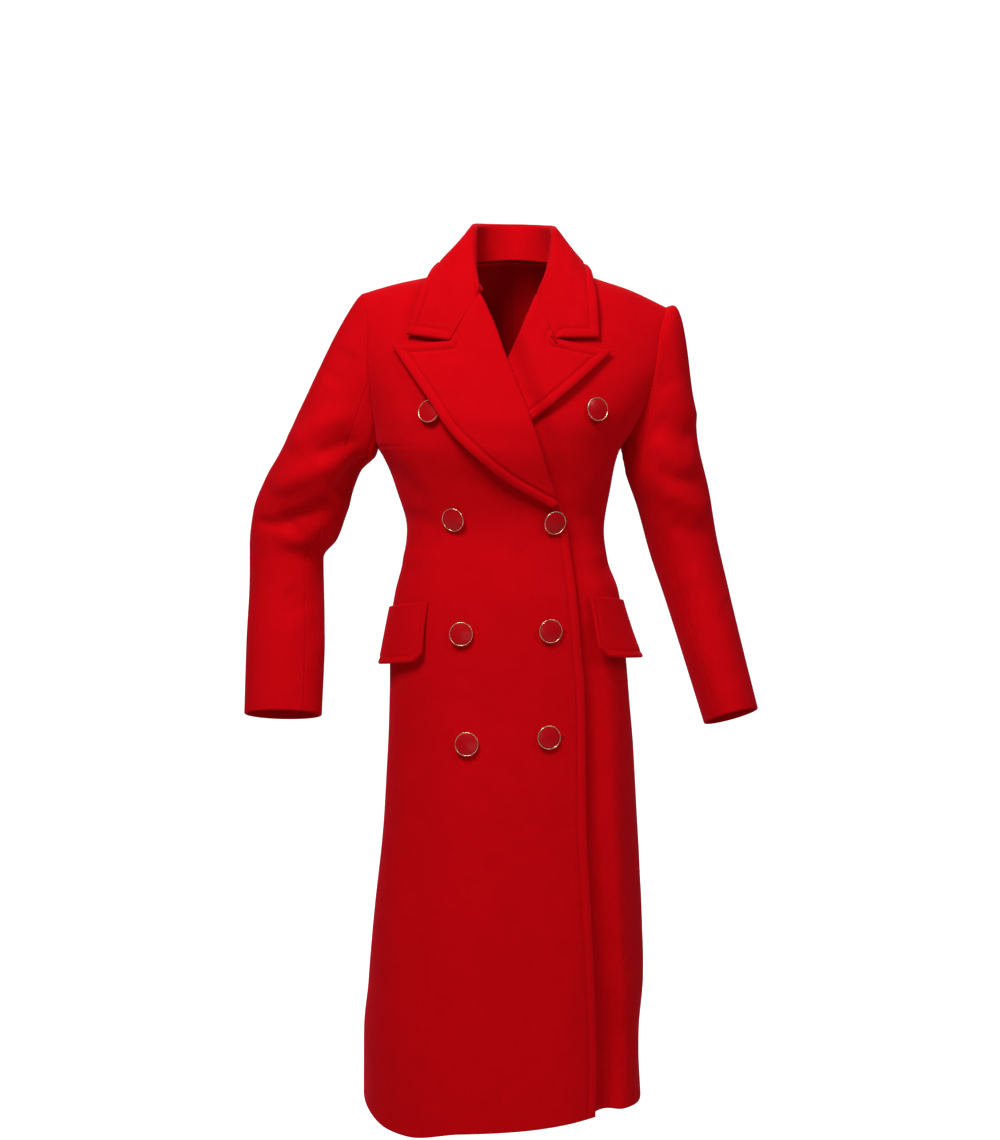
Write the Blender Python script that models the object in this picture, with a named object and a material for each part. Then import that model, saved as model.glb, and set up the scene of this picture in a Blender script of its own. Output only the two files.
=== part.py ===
"""A double-breasted coat in its worn form: every cut piece of cloth is its own thick wall, and the buttons
are sewn through it.

The sizes are in millimetres and the meshes are made in metres, +Z up. The front faces -Y and the wearer's left
is +X. The origin lies midway between the neck points of the two shoulder seams, where the shoulders carry it.
"""

import math

import bmesh
import bpy
import numpy as np
from mathutils import Matrix

MM = 0.001

# Cloth and seams.
WALL = 3.0          # body and sleeves
FOLDED_WALL = 4.0   # collar, lapels and flaps, two layers sewn together
SEAM = 0.15         # each piece stops this short of the seam line
CLEAR = 1.4         # cloth that lies on cloth

# Heights of the body.
HEM = -1080.0
ARMPIT = -235.0
BACK_NECK = 12.0
NECK_HALF_WIDTH = 68.0

# The body's level sections: a superellipse of this power, with its own depth in front and behind.
# Columns: height, centre, half width, front depth, back depth.
POWER = 2.4
BODY = np.array([
    (-1080, -14, 184, 165, 165),
    (-995, -16, 181, 157, 160),
    (-929, -10, 180, 150, 156),
    (-829, -6, 174, 142, 150),
    (-749, -3, 168, 134, 146),
    (-630, -3, 161, 124, 142),
    (-550, -5, 156, 118, 138),
    (-458, -8, 151, 113, 130),
    (-419, -8, 145, 109, 121),
    (-380, -10, 133, 103, 104),
    (-341, -10, 128, 98, 90),
    (-283, -13, 140, 108, 98),
    (-244, -17, 152, 118, 107),
    (-235, -18, 157, 119, 109),
    (-207, -11, 171, 118, 113),
    (-167, -4, 190, 107, 117),
    (-120, 0, 213, 92, 117),
    (-50, 0, 228, 78, 110),
    (20, 0, 236, 68, 100),
])

# The shoulder seam seen from the front, and how far below it the chest and the back reach their full depth.
SHOULDER = np.array([(-210, -41), (-195, -36), (-150, -23), (-100, -12), (-68, 0), (0, 30),
                     (68, 0), (100, -14), (150, -31), (197, -53), (212, -60)])
CHEST_DROP = 160.0
BACK_DROP = 100.0
DROP_POWER = 2.2

# Each armhole seen from the front: height, distance from the middle.
ARMHOLE = {
    -1: np.array([(-235, -175), (-207, -177), (-167, -182), (-130, -185), (-80, -185), (-36, -195)]),
    +1: np.array([(-235, 139), (-212, 154), (-180, 169), (-140, 179), (-90, 186), (-53, 197)]),
}

# Each front's middle edge, height and distance from the middle: straight up to the break, then the lapel's
# roll line, then back from the roll line along the neck seam to the shoulder.
STRAIGHT_EDGE = {
    -1: np.array([(-1080, 104), (-1015, 106), (-918, 103), (-788, 96), (-708, 92), (-540, 90), (-492, 86),
                  (-423, 80), (-382, 75)]),
    +1: np.array([(-1080, -90), (-708, -90), (-423, -86)]),
}
ROLL_LINE = {
    -1: np.array([(-322, 65), (-291, 52), (-200, 22), (-123, -8), (-62, -31), (-30, -46)]),
    +1: np.array([(-322, -76), (-200, -42), (-123, -8), (-88, 8), (-62, 19), (-35, 30)]),
}
NECK_SEAM = {-1: np.array([(-42, -48), (-20, -61), (0, -70)]), +1: np.array([(-42, 42), (-20, 59), (0, 70)])}
FRONT_EDGE = {
    side: np.concatenate([STRAIGHT_EDGE[side], ROLL_LINE[side][:-1], NECK_SEAM[side]]) for side in (-1, 1)
}

# The hem's height above HEM, by distance from the middle.
HEM_LIFT = np.array([(-200, -3), (-162, -16), (-137, -17), (-66, -4), (0, -1), (76, 7), (104, 9), (142, 10),
                     (175, 0)])
HEM_FADE = 260.0

# The left front lies under the right one: how far in by height, and over what width it comes out again.
TUCK = np.array([(-1080, 8), (-600, 8), (-330, 8), (-250, 15), (-100, 16), (0, 6)])
TUCK_WIDTH = 34.0
VALLEY = np.array([(-1080, 15), (-900, 14), (-700, 9), (-480, 2), (-400, 0), (0, 0)])
VALLEY_AT = 12.0
VALLEY_WIDTH = 16.0
RIDGE_AT = 42.0
RIDGE_HEIGHT = 0.45

# Grid of the body's panels.
ROWS_BELOW = 19
ROWS_CROWD = 0.85   # under 1, the rows lie closer toward the waist and chest
ROWS_ABOVE = 10
TOP_CROWD = math.pi / 2 * 0.9   # rows above the armpit lie at sines up to this angle
FRONT_COLUMNS = 15
BACK_COLUMNS = 9

# Sleeves, a row for each ring below the armhole. Columns: x, y and z of its centre, half width, half depth.
SLEEVE = {
    -1: np.array([
        (-251, 10, -256, 54, 66),
        (-272, 20, -300, 58, 62),
        (-286, 27, -335, 58, 58),
        (-298, 29, -372, 49, 56),
        (-297, 22, -410, 49, 54),
        (-296, -8, -490, 51, 48),
        (-297, -34, -578, 50, 44),
    ]),
    +1: np.array([
        (194, 8, -250, 50, 66),
        (209, 16, -300, 48, 63),
        (224, 24, -363, 45, 62),
        (240, 18, -420, 42, 61),
        (258, -4, -490, 39, 60),
        (282, -28, -581, 36, 58),
    ]),
}
HEAD_OUT = {-1: 7.0, +1: 9.0}   # the sleeve head beyond the armhole
HEAD_UP = {-1: -7.0, +1: 3.0}
HEAD_OUT_LOW = 0.15  # the share of HEAD_OUT at the armpit
HEAD_DOWN = 0.8      # how far the head hangs at the armpit, as a share of HEAD_OUT
UPPER_RINGS = 6
SLEEVE_RUN = 420.0   # length of the arm below the armhole
SLEEVE_ROWS = 15
FRONT_SEAM = 3       # columns up from the armpit
BACK_SEAM = 4

# Folds pressed into the sleeves. Columns: turn and way down the arm where a fold starts, the same where it
# ends, depth, width. The turn is 0 at the armpit side and 1 at the outer side.
FOLD_END = 0.12
SLEEVE_FOLDS = {
    -1: [(0.75, 0.26, 0.30, 0.44, 7, 22), (0.85, 0.50, 0.20, 0.42, -9, 16), (0.85, 0.58, 0.10, 0.50, 6, 20)],
    +1: [(0.80, 0.36, 0.25, 0.46, 4, 22), (0.80, 0.50, 0.20, 0.44, -4, 18)],
}

# Collar and lapels, seen from the front (x, z).
GORGE = {-1: ((-43, -37), (-80, -100)), +1: ((27, -42), (52, -97))}
COLLAR_TIP = {-1: (-135, -92), +1: (108, -96)}
LAPEL_EDGE = {
    -1: np.array([(-154, -105), (-133, -136), (-104, -178), (-81, -213), (-48, -246), (-14, -274), (17, -293),
                  (47, -309)]),
    +1: np.array([(124, -113), (82, -152), (51, -178), (20, -202)]),
}
LAPEL_END = {-1: -305.0, +1: -135.0}
LAPEL_ROWS = {-1: 14, +1: 7}
LAPEL_ACROSS = 6
CORNER_ACROSS = 0.5
GORGE_GAP = 0.6
LAPEL_SEAT = {-1: 0.0, +1: 1.2}
LAPEL_LIFT = {-1: 9.0, +1: 4.0}

# Collar stations from the gorge to the centre back: neck edge (x, z), then roll, middle and outer edge (x, y, z).
# The first one has only its neck edge and roll, because its fall follows the gorge and the notch.
COLLAR_STATIONS = 10
FALL_START = 4
FALL_ACROSS = (0.08, 0.27, 0.5, 0.75, 1.0)
NECK_MIDDLE = (0.0, 25.0, 0.0)
BEHIND_NECK = 20.0   # stations whose roll lies further back than this sit on the back
COLLAR = {
    -1: (
        ((-40, -36), (-44, -68, -33)),
        ((-54, -14), (-50, -38, 6), (-88, -62, -36), (-121, -62, -46)),
        ((-68, 0), (-52, 4, 53), (-73, -4, 27), (-100, 0, -2)),
        ((-45, 7), (-38, 50, 60), (-62, 70, 28), (-82, 84, -4)),
    ),
    +1: (
        ((32, -40), (30, -68, -38)),
        ((52, -14), (46, -38, 2), (74, -60, -38), (106, -62, -50)),
        ((68, 0), (54, 4, 50), (76, -4, 22), (99, 0, -5)),
        ((45, 7), (38, 50, 58), (62, 70, 26), (82, 84, -6)),
    ),
}
COLLAR_BACK = ((0, 12), (0, 74, 62), (0, 92, 30), (0, 104, -10))
ROLL = 6.0

# Pocket flaps. Columns: turn round the body in degrees at the front and the back end, height at both.
FLAP = {-1: (-38, -104, -426, -444), +1: (41, 102, -419, -434)}
FLAP_FACING = (1.0, 1.6, 0.0)
FLAP_CORNER_WIDTH = 0.12
FLAP_DROP = 75.0
FLAP_SEAT = 0.5
FLAP_LIFT = {-1: 12.0, +1: 20.0}
FLAP_CORNER = 0.14

# Buttons, sewn on at (x, z) of each side; the face sits in a thin metal rim.
BUTTONS = {
    -1: ((-103, -190), (-74, -323), (-65, -466), (-58, -603)),
    +1: ((102, -187), (50, -327), (45, -462), (43, -594)),
}
BUTTON_RADIUS = 15.0
RIM_WIDTH = 1.4
RIM_HEIGHT = 3.2
DOME = 1.6
SHANK_RADIUS = 4.0
SHANK_HEIGHT = 2.2
BUTTON_STEPS = 16

RED = (0.55, 0.002, 0.004, 1.0)
GLOSSY_RED = (0.42, 0.002, 0.006, 1.0)
GOLD = (0.80, 0.50, 0.30, 1.0)


def read(table, value):
    """A smooth curve through a table's rows, its first column against the rest, with no overshoot."""
    at = table[:, 0].astype(float)
    held = table[:, 1:].astype(float)
    step = np.diff(at)[:, None]
    slope = np.diff(held, axis=0) / step
    same_way = slope[1:] * slope[:-1] > 0
    total = np.where(same_way, slope[1:] + slope[:-1], 1.0)
    inner = np.where(same_way, 2 * slope[1:] * slope[:-1] / total, 0.0)
    rise = np.concatenate([slope[:1], inner, slope[-1:]])
    value = np.clip(np.asarray(value, float), at[0], at[-1])
    k = np.clip(np.searchsorted(at, value, side="right") - 1, 0, len(at) - 2)
    gap = step[k, 0]
    t = ((value - at[k]) / gap)[..., None]
    gap = gap[..., None]
    found = (
        (1 + 2 * t) * (1 - t) ** 2 * held[k] + t * (1 - t) ** 2 * gap * rise[k]
        + t * t * (3 - 2 * t) * held[k + 1] + t * t * (t - 1) * gap * rise[k + 1]
    )
    return found[..., 0] if held.shape[1] == 1 else found


def eased(t):
    t = np.clip(t, 0, 1)
    return t * t * (3 - 2 * t)


def blend(a, b, t):
    return a + (b - a) * t


def unit(vectors):
    return vectors / np.maximum(np.linalg.norm(vectors, axis=-1, keepdims=True), 1e-9)


def bent(value, power):
    return np.sign(value) * np.abs(value) ** power


def quarter(across, power):
    """How full a quarter of a superellipse is at this part of its width."""
    return (1 - np.clip(np.abs(across), 0, 1) ** power) ** (1 / power)


def section(z):
    return np.moveaxis(read(BODY, z), -1, 0)


def drop(x, z, reach):
    """The body's depth rounds off to nothing at the shoulder seam."""
    below = np.clip((read(SHOULDER, x) - z) / reach, 0, 1)
    return quarter(1 - below, DROP_POWER)


def front_y(x, z):
    """The outer face of the fronts at a place seen from the front."""
    centre, half_width, front, _ = section(z)
    return -front * quarter((x - centre) / half_width, POWER) * drop(x, z, CHEST_DROP)


def back_y(x, z):
    centre, half_width, _, back = section(z)
    return back * quarter((x - centre) / half_width, POWER) * drop(x, z, BACK_DROP)


def turn_at(x, z):
    """The angle round the body, from the centre front, at which its section has this x."""
    centre, half_width, _, _ = section(z)
    return np.arcsin(np.clip(bent((x - centre) / half_width, POWER / 2), -1, 1))


def body_point(turn, z):
    """The outer form below the armpit, at an angle from the centre front and a height."""
    centre, half_width, front, back = section(z)
    x = centre + half_width * bent(np.sin(turn), 2 / POWER)
    depth = np.where(np.cos(turn) > 0, -front, back)
    return np.stack([x, depth * np.abs(np.cos(turn)) ** (2 / POWER), z + 0 * x], axis=-1)


def tuck(x, z):
    """How far in the left front lies: under the right front, then in a valley with a soft ridge beyond."""
    past = x - read(FRONT_EDGE[-1], z)
    under = read(TUCK, z) * (1 - eased((past - 2) / TUCK_WIDTH))
    valley = read(VALLEY, z) * np.exp(-(((past - VALLEY_AT) / VALLEY_WIDTH) ** 2))
    ridge = RIDGE_HEIGHT * read(VALLEY, z) * np.exp(-(((past - RIDGE_AT) / VALLEY_WIDTH) ** 2))
    return under + valley - ridge


def panel_grid(side, is_front, columns):
    """Outer points of a front or a back, from its middle edge to the side and from the hem to the shoulder."""
    shoulder_end = ARMHOLE[side][-1, 0]
    below = blend(HEM, ARMPIT, np.linspace(0, 1, ROWS_BELOW + 1)[:-1] ** ROWS_CROWD)
    way = np.sin(np.linspace(0, 1, ROWS_ABOVE + 1) * TOP_CROWD) / math.sin(TOP_CROWD)
    level = np.concatenate([below, blend(ARMPIT, shoulder_end, way)])
    edge_level = np.concatenate([below, blend(ARMPIT, 0.0, way)])
    way = np.concatenate([0 * below, way])[:, None]
    middle = read(FRONT_EDGE[side], edge_level) if is_front else 0 * level
    outer = np.where(level > ARMPIT, turn_at(read(ARMHOLE[side], level), level), side * math.pi / 2)
    turn = blend(turn_at(middle, level)[:, None], outer[:, None], np.linspace(0, 1, columns))
    centre, half_width, front, back = section(level[:, None])
    x = centre + half_width * bent(np.sin(turn), 2 / POWER)
    x[:, 0] = middle
    x[level >= ARMPIT, -1] = read(ARMHOLE[side], level[level >= ARMPIT])
    across = np.clip(np.abs(x) / NECK_HALF_WIDTH, 0, 1)
    neck = 0.0 if is_front else BACK_NECK * (1 - across ** 2)
    top = np.where(across < 1, neck, read(SHOULDER, x))
    lift = read(HEM_LIFT, x) * (1 - eased((level[:, None] - HEM) / HEM_FADE))
    z = np.where(way > 0, blend(ARMPIT, top, way), level[:, None] + lift)
    depth = -front if is_front else back
    y = np.where(way > 0, front_y(x, z) if is_front else back_y(x, z), depth * np.abs(np.cos(turn)) ** (2 / POWER))
    if is_front and side > 0:
        y = y + tuck(x, z)
    y[-1] = np.where(np.abs(x[-1]) < NECK_HALF_WIDTH - 1, y[-1], 0.0)
    return np.stack([x, y, z], axis=-1)


def normals(grid, outward):
    """Unit vectors away from the grid, on the side that a given direction from its middle points to."""
    crossed = unit(np.cross(np.gradient(grid, axis=0), np.gradient(grid, axis=1)))
    middle = crossed[grid.shape[0] // 2, grid.shape[1] // 2]
    return crossed if np.dot(middle, outward) > 0 else -crossed


def armhole_inward(points):
    """Into the armhole, level with its opening: the direction in which both walls there are thick."""
    centre = np.array([0.0, 0.0, (ARMPIT + points[..., 2].max()) / 2])
    toward = centre - points
    toward[..., 0] = 0.0
    return unit(toward)


def trimmed(grid, edges):
    """The grid with its named edges drawn in by SEAM, toward the next row or column."""
    grid = grid.copy()
    for edge in edges:
        axis = 0 if edge in ("first_row", "last_row") else 1
        turned = np.moveaxis(grid, axis, 0)
        end, after = (0, 1) if edge.startswith("first") else (-1, -2)
        way = turned[after] - turned[end]
        turned[end] += unit(way) * SEAM
    return grid


def add_mesh(name, points, faces, material):
    mesh = bpy.data.meshes.new(name)
    mesh.from_pydata((np.asarray(points) * MM).tolist(), [], [list(face) for face in faces])
    form = bmesh.new()
    form.from_mesh(mesh)
    bmesh.ops.recalc_face_normals(form, faces=form.faces)
    form.to_mesh(mesh)
    form.free()
    mesh.shade_smooth()
    mesh.set_sharp_from_angle(angle=math.radians(40))
    mesh.materials.append(material)
    obj = bpy.data.objects.new(name, mesh)
    bpy.context.collection.objects.link(obj)
    return obj


def halves(number):
    """Each square of a grid of point numbers as two triangles, cut along the same diagonal."""
    a, b, c, d = number[:-1, :-1], number[:-1, 1:], number[1:, 1:], number[1:, :-1]
    return np.concatenate([np.stack([a, b, c], axis=-1).reshape(-1, 3), np.stack([a, c, d], axis=-1).reshape(-1, 3)])


def facet_y(grid, x, z):
    """How far forward a panel's own facets reach at places seen from the front."""
    number = np.arange(grid.shape[0] * grid.shape[1]).reshape(grid.shape[:2])
    a, b, c = np.moveaxis(grid.reshape(-1, 3)[halves(number)], 1, 0)
    x = np.asarray(x, float)[..., None]
    z = np.asarray(z, float)[..., None]
    area = (b[:, 0] - a[:, 0]) * (c[:, 2] - a[:, 2]) - (c[:, 0] - a[:, 0]) * (b[:, 2] - a[:, 2])
    area = np.where(np.abs(area) < 1e-6, 1e-6, area)
    share_b = ((x - a[:, 0]) * (c[:, 2] - a[:, 2]) - (c[:, 0] - a[:, 0]) * (z - a[:, 2])) / area
    share_c = ((b[:, 0] - a[:, 0]) * (z - a[:, 2]) - (x - a[:, 0]) * (b[:, 2] - a[:, 2])) / area
    outside = np.maximum(np.maximum(-share_b, -share_c), share_b + share_c - 1)
    nearest = np.argmin(np.maximum(outside, 0) * np.sqrt(np.abs(area)), axis=-1)
    y = a[:, 1] + share_b * (b[:, 1] - a[:, 1]) + share_c * (c[:, 1] - a[:, 1])
    return np.take_along_axis(y, nearest[..., None], axis=-1)[..., 0]


def add_wall(name, outer, inner, material):
    """One closed wall of cloth between two grids with the same rows and columns."""
    rows, columns = outer.shape[:2]
    number = np.arange(rows * columns).reshape(rows, columns)
    face = halves(number)
    rim = np.concatenate([number[0, :-1], number[:-1, -1], number[-1, :0:-1], number[:0:-1, 0]])
    after = np.roll(rim, -1)
    far = rows * columns
    rising = (after > rim)[:, None]
    low = np.where(rising, np.stack([after, rim, rim + far], axis=-1), np.stack([after, rim, after + far], axis=-1))
    high = np.where(
        rising, np.stack([after, rim + far, after + far], axis=-1), np.stack([rim, rim + far, after + far], axis=-1)
    )
    edge = np.concatenate([low, high])
    points = np.concatenate([outer.reshape(-1, 3), inner.reshape(-1, 3)])
    return add_mesh(name, points, np.concatenate([face, face[:, ::-1] + far, edge]), material)


def make_panel(name, side, is_front, columns, material):
    outer = panel_grid(side, is_front, columns)
    inward = -normals(outer, (0, -1 if is_front else 1, 0))
    inward[:ROWS_BELOW, -1] = (-side, 0, 0)
    armhole = outer[ROWS_BELOW:, -1]
    inward[ROWS_BELOW:, -1] = armhole_inward(armhole)
    seam = unit(np.gradient(outer[-1], axis=0))
    across_seam = np.stack([seam[:, 2], 0 * seam[:, 0], -seam[:, 0]], axis=-1) * side
    on_seam = np.abs(outer[-1, :, 0]) >= NECK_HALF_WIDTH - 1
    inward[-1] = np.where(on_seam[:, None], unit(across_seam), inward[-1])
    inward[-1, -1] = armhole_inward(armhole)[-1]
    if not is_front:
        inward[:, 0, 0] = 0.0
        inward = unit(inward)
    inner = outer + WALL * inward
    seams = ["last_column", "last_row"]
    if not is_front:
        seams.append("first_column")
    return add_wall(name, trimmed(outer, seams), trimmed(inner, seams), material)


def armhole_ring(side):
    """The armhole's points from the armpit up the front, over the shoulder and down the back."""
    front = panel_grid(side, True, 2)[ROWS_BELOW:, -1]
    back = panel_grid(side, False, 2)[ROWS_BELOW:, -1]
    return np.concatenate([front, back[-2:0:-1]])


def sleeve_ring(row, along, side, turn):
    """A level ring of the sleeve, its turn counted from the armpit side through the front."""
    outward = unit(np.cross(along, (0.0, 1.0, 0.0)))
    outward *= np.sign(outward[0] * side)
    forward = unit(np.cross(outward, along))
    forward *= -np.sign(forward[1])
    x, y, z, half_width, half_depth = row
    spread = -half_width * np.cos(turn)[:, None] * outward + half_depth * np.sin(turn)[:, None] * forward
    return np.array([x, y, z]) + spread


def fold_depth(side, turn, way):
    """Ridges and hollows of the sleeve's folds, each along a line of turn and way down the arm."""
    found = 0 * turn
    for turn_a, way_a, turn_b, way_b, depth, width in SLEEVE_FOLDS[side]:
        part = np.clip((turn - turn_a) / (turn_b - turn_a), 0, 1)
        off = (way - blend(way_a, way_b, part)) * SLEEVE_RUN
        ends = eased((turn_a - turn) / FOLD_END + 1) * eased((turn - turn_b) / FOLD_END + 1)
        found = found + depth * np.exp(-((off / width) ** 2)) * ends
    return found


def sleeve_grid(side):
    """Outer points of the whole sleeve, rows down the arm and columns round it from the armpit."""
    armhole = armhole_ring(side)
    count = len(armhole)
    turn = np.arange(count) / count * 2 * math.pi
    raised = ((1 - np.cos(turn)) / 2)[:, None]
    out = np.array([side * 1.0, 0.0, 0.0]) * blend(HEAD_OUT_LOW, 1.0, raised) * HEAD_OUT[side]
    down = np.array([0.0, 0.0, -1.0]) * (1 - raised) * HEAD_OUT[side]
    head = armhole + out + down * HEAD_DOWN - armhole_inward(armhole) * HEAD_UP[side] * raised ** 2
    rows = SLEEVE[side].astype(float)
    along = unit(np.gradient(rows[:, :3], axis=0))
    rings = [armhole, head] + [sleeve_ring(row, way, side, turn) for row, way in zip(rows, along)]
    rings = np.array(rings)
    centres = rings.mean(axis=1)
    run = np.concatenate([[0], np.cumsum(np.linalg.norm(np.diff(centres, axis=0), axis=1))])
    run = run / run[-1]
    table = np.concatenate([run[:, None], rings.reshape(len(rings), -1)], axis=1)
    upper = np.linspace(run[1], run[2], UPPER_RINGS)
    lower = np.linspace(run[2], 1, SLEEVE_ROWS - UPPER_RINGS + 1)[1:]
    levels = np.concatenate([[0], upper, lower])
    grid = read(table, levels).reshape(len(levels), count, 3)
    middle = grid.mean(axis=1, keepdims=True)
    share = (turn / (2 * math.pi))[None, :]
    out = fold_depth(side, np.where(share > 0.5, 1 - share, share) * 2, levels[:, None])
    return grid + unit(grid - middle) * out[..., None]


def make_sleeve(side, word, material):
    outer = sleeve_grid(side)
    inward = unit(outer.mean(axis=1, keepdims=True) - outer)
    inward[0] = armhole_inward(outer[0])
    inner = outer + WALL * inward
    count = outer.shape[1]
    top = np.arange(FRONT_SEAM, count - BACK_SEAM + 1)
    under = np.arange(-BACK_SEAM, FRONT_SEAM + 1)
    seams = ("first_row", "first_column", "last_column")
    for part, picked in (("top", top), ("under", under)):
        add_wall(
            f"sleeve_{word}_{part}", trimmed(outer[:, picked], seams), trimmed(inner[:, picked], seams), material
        )


def on_front(side, xz, off):
    """Points off the front panel's outer face, at places seen from the front."""
    xz = np.asarray(xz, float)
    grid = panel_grid(side, True, FRONT_COLUMNS)
    return np.stack([xz[..., 0], facet_y(grid, xz[..., 0], xz[..., 1]) - off, xz[..., 1]], axis=-1)


def line_through(points, shares, t):
    """Places along straight stretches between points, each point at its own share of t."""
    points = np.asarray(points, float)
    return np.stack([np.interp(t, shares, points[:, i]) for i in range(points.shape[1])], axis=-1)


def lapel_off(side, way, across):
    """How far a lapel's outer face stands off the front, less at its top and at the break."""
    lift = LAPEL_LIFT[side] * blend(0.45, 1.0, eased(way * 3)) * (1 - eased(way * 4 - 3) * 0.7)
    return FOLDED_WALL + CLEAR + LAPEL_SEAT[side] + lift * np.sin(across * math.pi / 2) ** 0.8


def make_lapel(side, word, material):
    """Rows run down the roll line, columns from the roll line to the outer edge."""
    across = np.linspace(0, 1, LAPEL_ACROSS + 1)
    way = np.linspace(0, 1, LAPEL_ROWS[side] + 1)
    roll_z = blend(GORGE[side][0][1], LAPEL_END[side], way)
    roll = np.stack([read(ROLL_LINE[side], roll_z), roll_z], axis=-1)
    roll[0] = GORGE[side][0]
    edge = LAPEL_EDGE[side]
    outer_z = blend(edge[0, 1], edge[-1, 1], way)
    outer_x = read(edge[::-1, ::-1], outer_z)
    end = np.stack([outer_x, outer_z], axis=-1)
    corner = blend(roll, end, CORNER_ACROSS)
    corner = corner + (GORGE[side][1] - corner[0]) * (1 - eased(way * 3))[:, None]
    places = np.array([line_through(three, (0, CORNER_ACROSS, 1), across) for three in zip(roll, corner, end)])
    places[0] += np.array([-side, -1]) * GORGE_GAP
    places[0, 0] += np.array([-side, -1]) * 2 * GORGE_GAP
    outer = on_front(side, places, lapel_off(side, way[:, None], across[None, :]))
    inner = outer + (0.0, FOLDED_WALL, 0.0)
    return add_wall(f"lapel_{word}", outer, inner, material)


def collar_end(side, station):
    """The collar's front section: its fall follows the gorge seam to the corner, then the notch to the tip."""
    across = np.array(FALL_ACROSS)
    places = line_through((*GORGE[side], COLLAR_TIP[side]), (0, CORNER_ACROSS, 1), across)
    fall = on_front(side, places, lapel_off(side, 0.0, across))
    stand = collar_curve((station[0], station[1], fall[2], fall[4]))[:FALL_START]
    return np.concatenate([stand, fall])


def collar_curve(station):
    """One section of the collar: up the stand from the neck edge, over the roll and down to the outer edge."""
    (neck_x, neck_z), roll, middle, outer = station
    behind = roll[1] > BEHIND_NECK
    neck_y = back_y(neck_x, neck_z) if behind else front_y(neck_x, neck_z)
    neck = np.array([neck_x, neck_y, neck_z + 1.0])
    roll, middle, outer = (np.asarray(point, float) for point in (roll, middle, outer))
    inward = unit(np.array(NECK_MIDDLE) - neck)
    inward[2] = 0.0
    inward = unit(inward)
    stand = neck + inward * (FOLDED_WALL + CLEAR)
    lower = roll - (0, 0, ROLL)
    return np.array([
        stand, blend(stand, lower + inward * ROLL, 0.5), lower + inward * ROLL, roll, lower - inward * ROLL,
        blend(lower - inward * ROLL, middle, 0.5), middle, blend(middle, outer, 0.5), outer,
    ])


def make_collar(material):
    right, left = COLLAR[-1], COLLAR[+1]
    sections = [collar_end(-1, right[0])] + [collar_curve(station) for station in right[1:]]
    sections += [collar_curve(COLLAR_BACK)] + [collar_curve(station) for station in left[:0:-1]]
    sections = np.array(sections + [collar_end(+1, left[0])])
    table = np.concatenate([np.arange(len(sections))[:, None] * 1.0, sections.reshape(len(sections), -1)], axis=1)
    at = np.linspace(0, len(sections) - 1, 2 * COLLAR_STATIONS + 1)
    grid = read(table, at).reshape(len(at), sections.shape[1], 3)
    inward = -normals(grid, (0, 1, 0))
    inward[[0, -1], FALL_START:] = (0, 1, 0)
    return add_wall("collar", grid, grid + FOLDED_WALL * inward, material)


def make_flap(side, word, material):
    front_turn, back_turn, front_height, back_height = FLAP[side]
    along = np.linspace(0, 1, 9)[None, :]
    down = np.linspace(0, 1, 5)[:, None]
    corner = FLAP_CORNER * np.clip(1 - along / FLAP_CORNER_WIDTH, 0, 1) ** 2
    turn = np.radians(blend(front_turn, back_turn, along)) + 0 * down
    z = blend(front_height, back_height, along) - FLAP_DROP * down * (1 - corner)
    base = body_point(turn, z)
    outward = unit(base * FLAP_FACING)
    lift = FLAP_LIFT[side] * down ** 1.5 * blend(0.55, 1.0, along)
    outer = base + outward * (FOLDED_WALL + FLAP_SEAT + lift)[..., None]
    return add_wall(f"pocket_flap_{word}", outer, outer - FOLDED_WALL * outward, material)


def add_turned(name, profile, closed, material):
    """A solid turned round Z from its profile of (radius, height) points."""
    form = bmesh.new()
    points = [form.verts.new((radius * MM, 0.0, height * MM)) for radius, height in profile]
    pairs = list(zip(points, points[1:])) + ([(points[-1], points[0])] if closed else [])
    edges = [form.edges.new(pair) for pair in pairs]
    bmesh.ops.spin(
        form, geom=points + edges, cent=(0, 0, 0), axis=(0, 0, 1), angle=2 * math.pi, steps=BUTTON_STEPS,
        use_merge=True,
    )
    bmesh.ops.remove_doubles(form, verts=form.verts, dist=1e-6)
    bmesh.ops.recalc_face_normals(form, faces=form.faces)
    mesh = bpy.data.meshes.new(name)
    form.to_mesh(mesh)
    form.free()
    mesh.shade_smooth()
    mesh.set_sharp_from_angle(angle=math.radians(35))
    mesh.materials.append(material)
    obj = bpy.data.objects.new(name, mesh)
    bpy.context.collection.objects.link(obj)
    return obj


def face_profile():
    rim = BUTTON_RADIUS - RIM_WIDTH - 0.3
    low = SHANK_HEIGHT
    high = low + RIM_HEIGHT - 0.6
    return [(0, 0), (SHANK_RADIUS, 0), (SHANK_RADIUS, low), (rim, low), (rim, high), (rim - 1.6, high + 0.5),
            (rim * 0.55, high + DOME * 0.85), (0, high + DOME)]


def rim_profile():
    inner = BUTTON_RADIUS - RIM_WIDTH
    low = SHANK_HEIGHT
    return [(inner, low), (BUTTON_RADIUS - 0.4, low), (BUTTON_RADIUS, low + RIM_HEIGHT / 2),
            (BUTTON_RADIUS - 0.4, low + RIM_HEIGHT), (inner, low + RIM_HEIGHT)]


def button_frame(side, x, z):
    """Where a button's shank meets the cloth, and the way that it faces."""
    panel = 1 if side > 0 and x > read(FRONT_EDGE[-1], z) else -1
    round_it = np.linspace(0, 2 * math.pi, 13)[:-1]
    places = np.stack([x + SHANK_RADIUS * np.cos(round_it), z + SHANK_RADIUS * np.sin(round_it)], axis=-1)
    points = on_front(panel, places, 0.0)
    facing = unit(np.cross(points[0] - points[6], points[3] - points[9]))
    middle = points.mean(axis=0)
    highest = ((points - middle) @ facing).max()
    return middle + (highest + 2 * SEAM) * facing, facing


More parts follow.
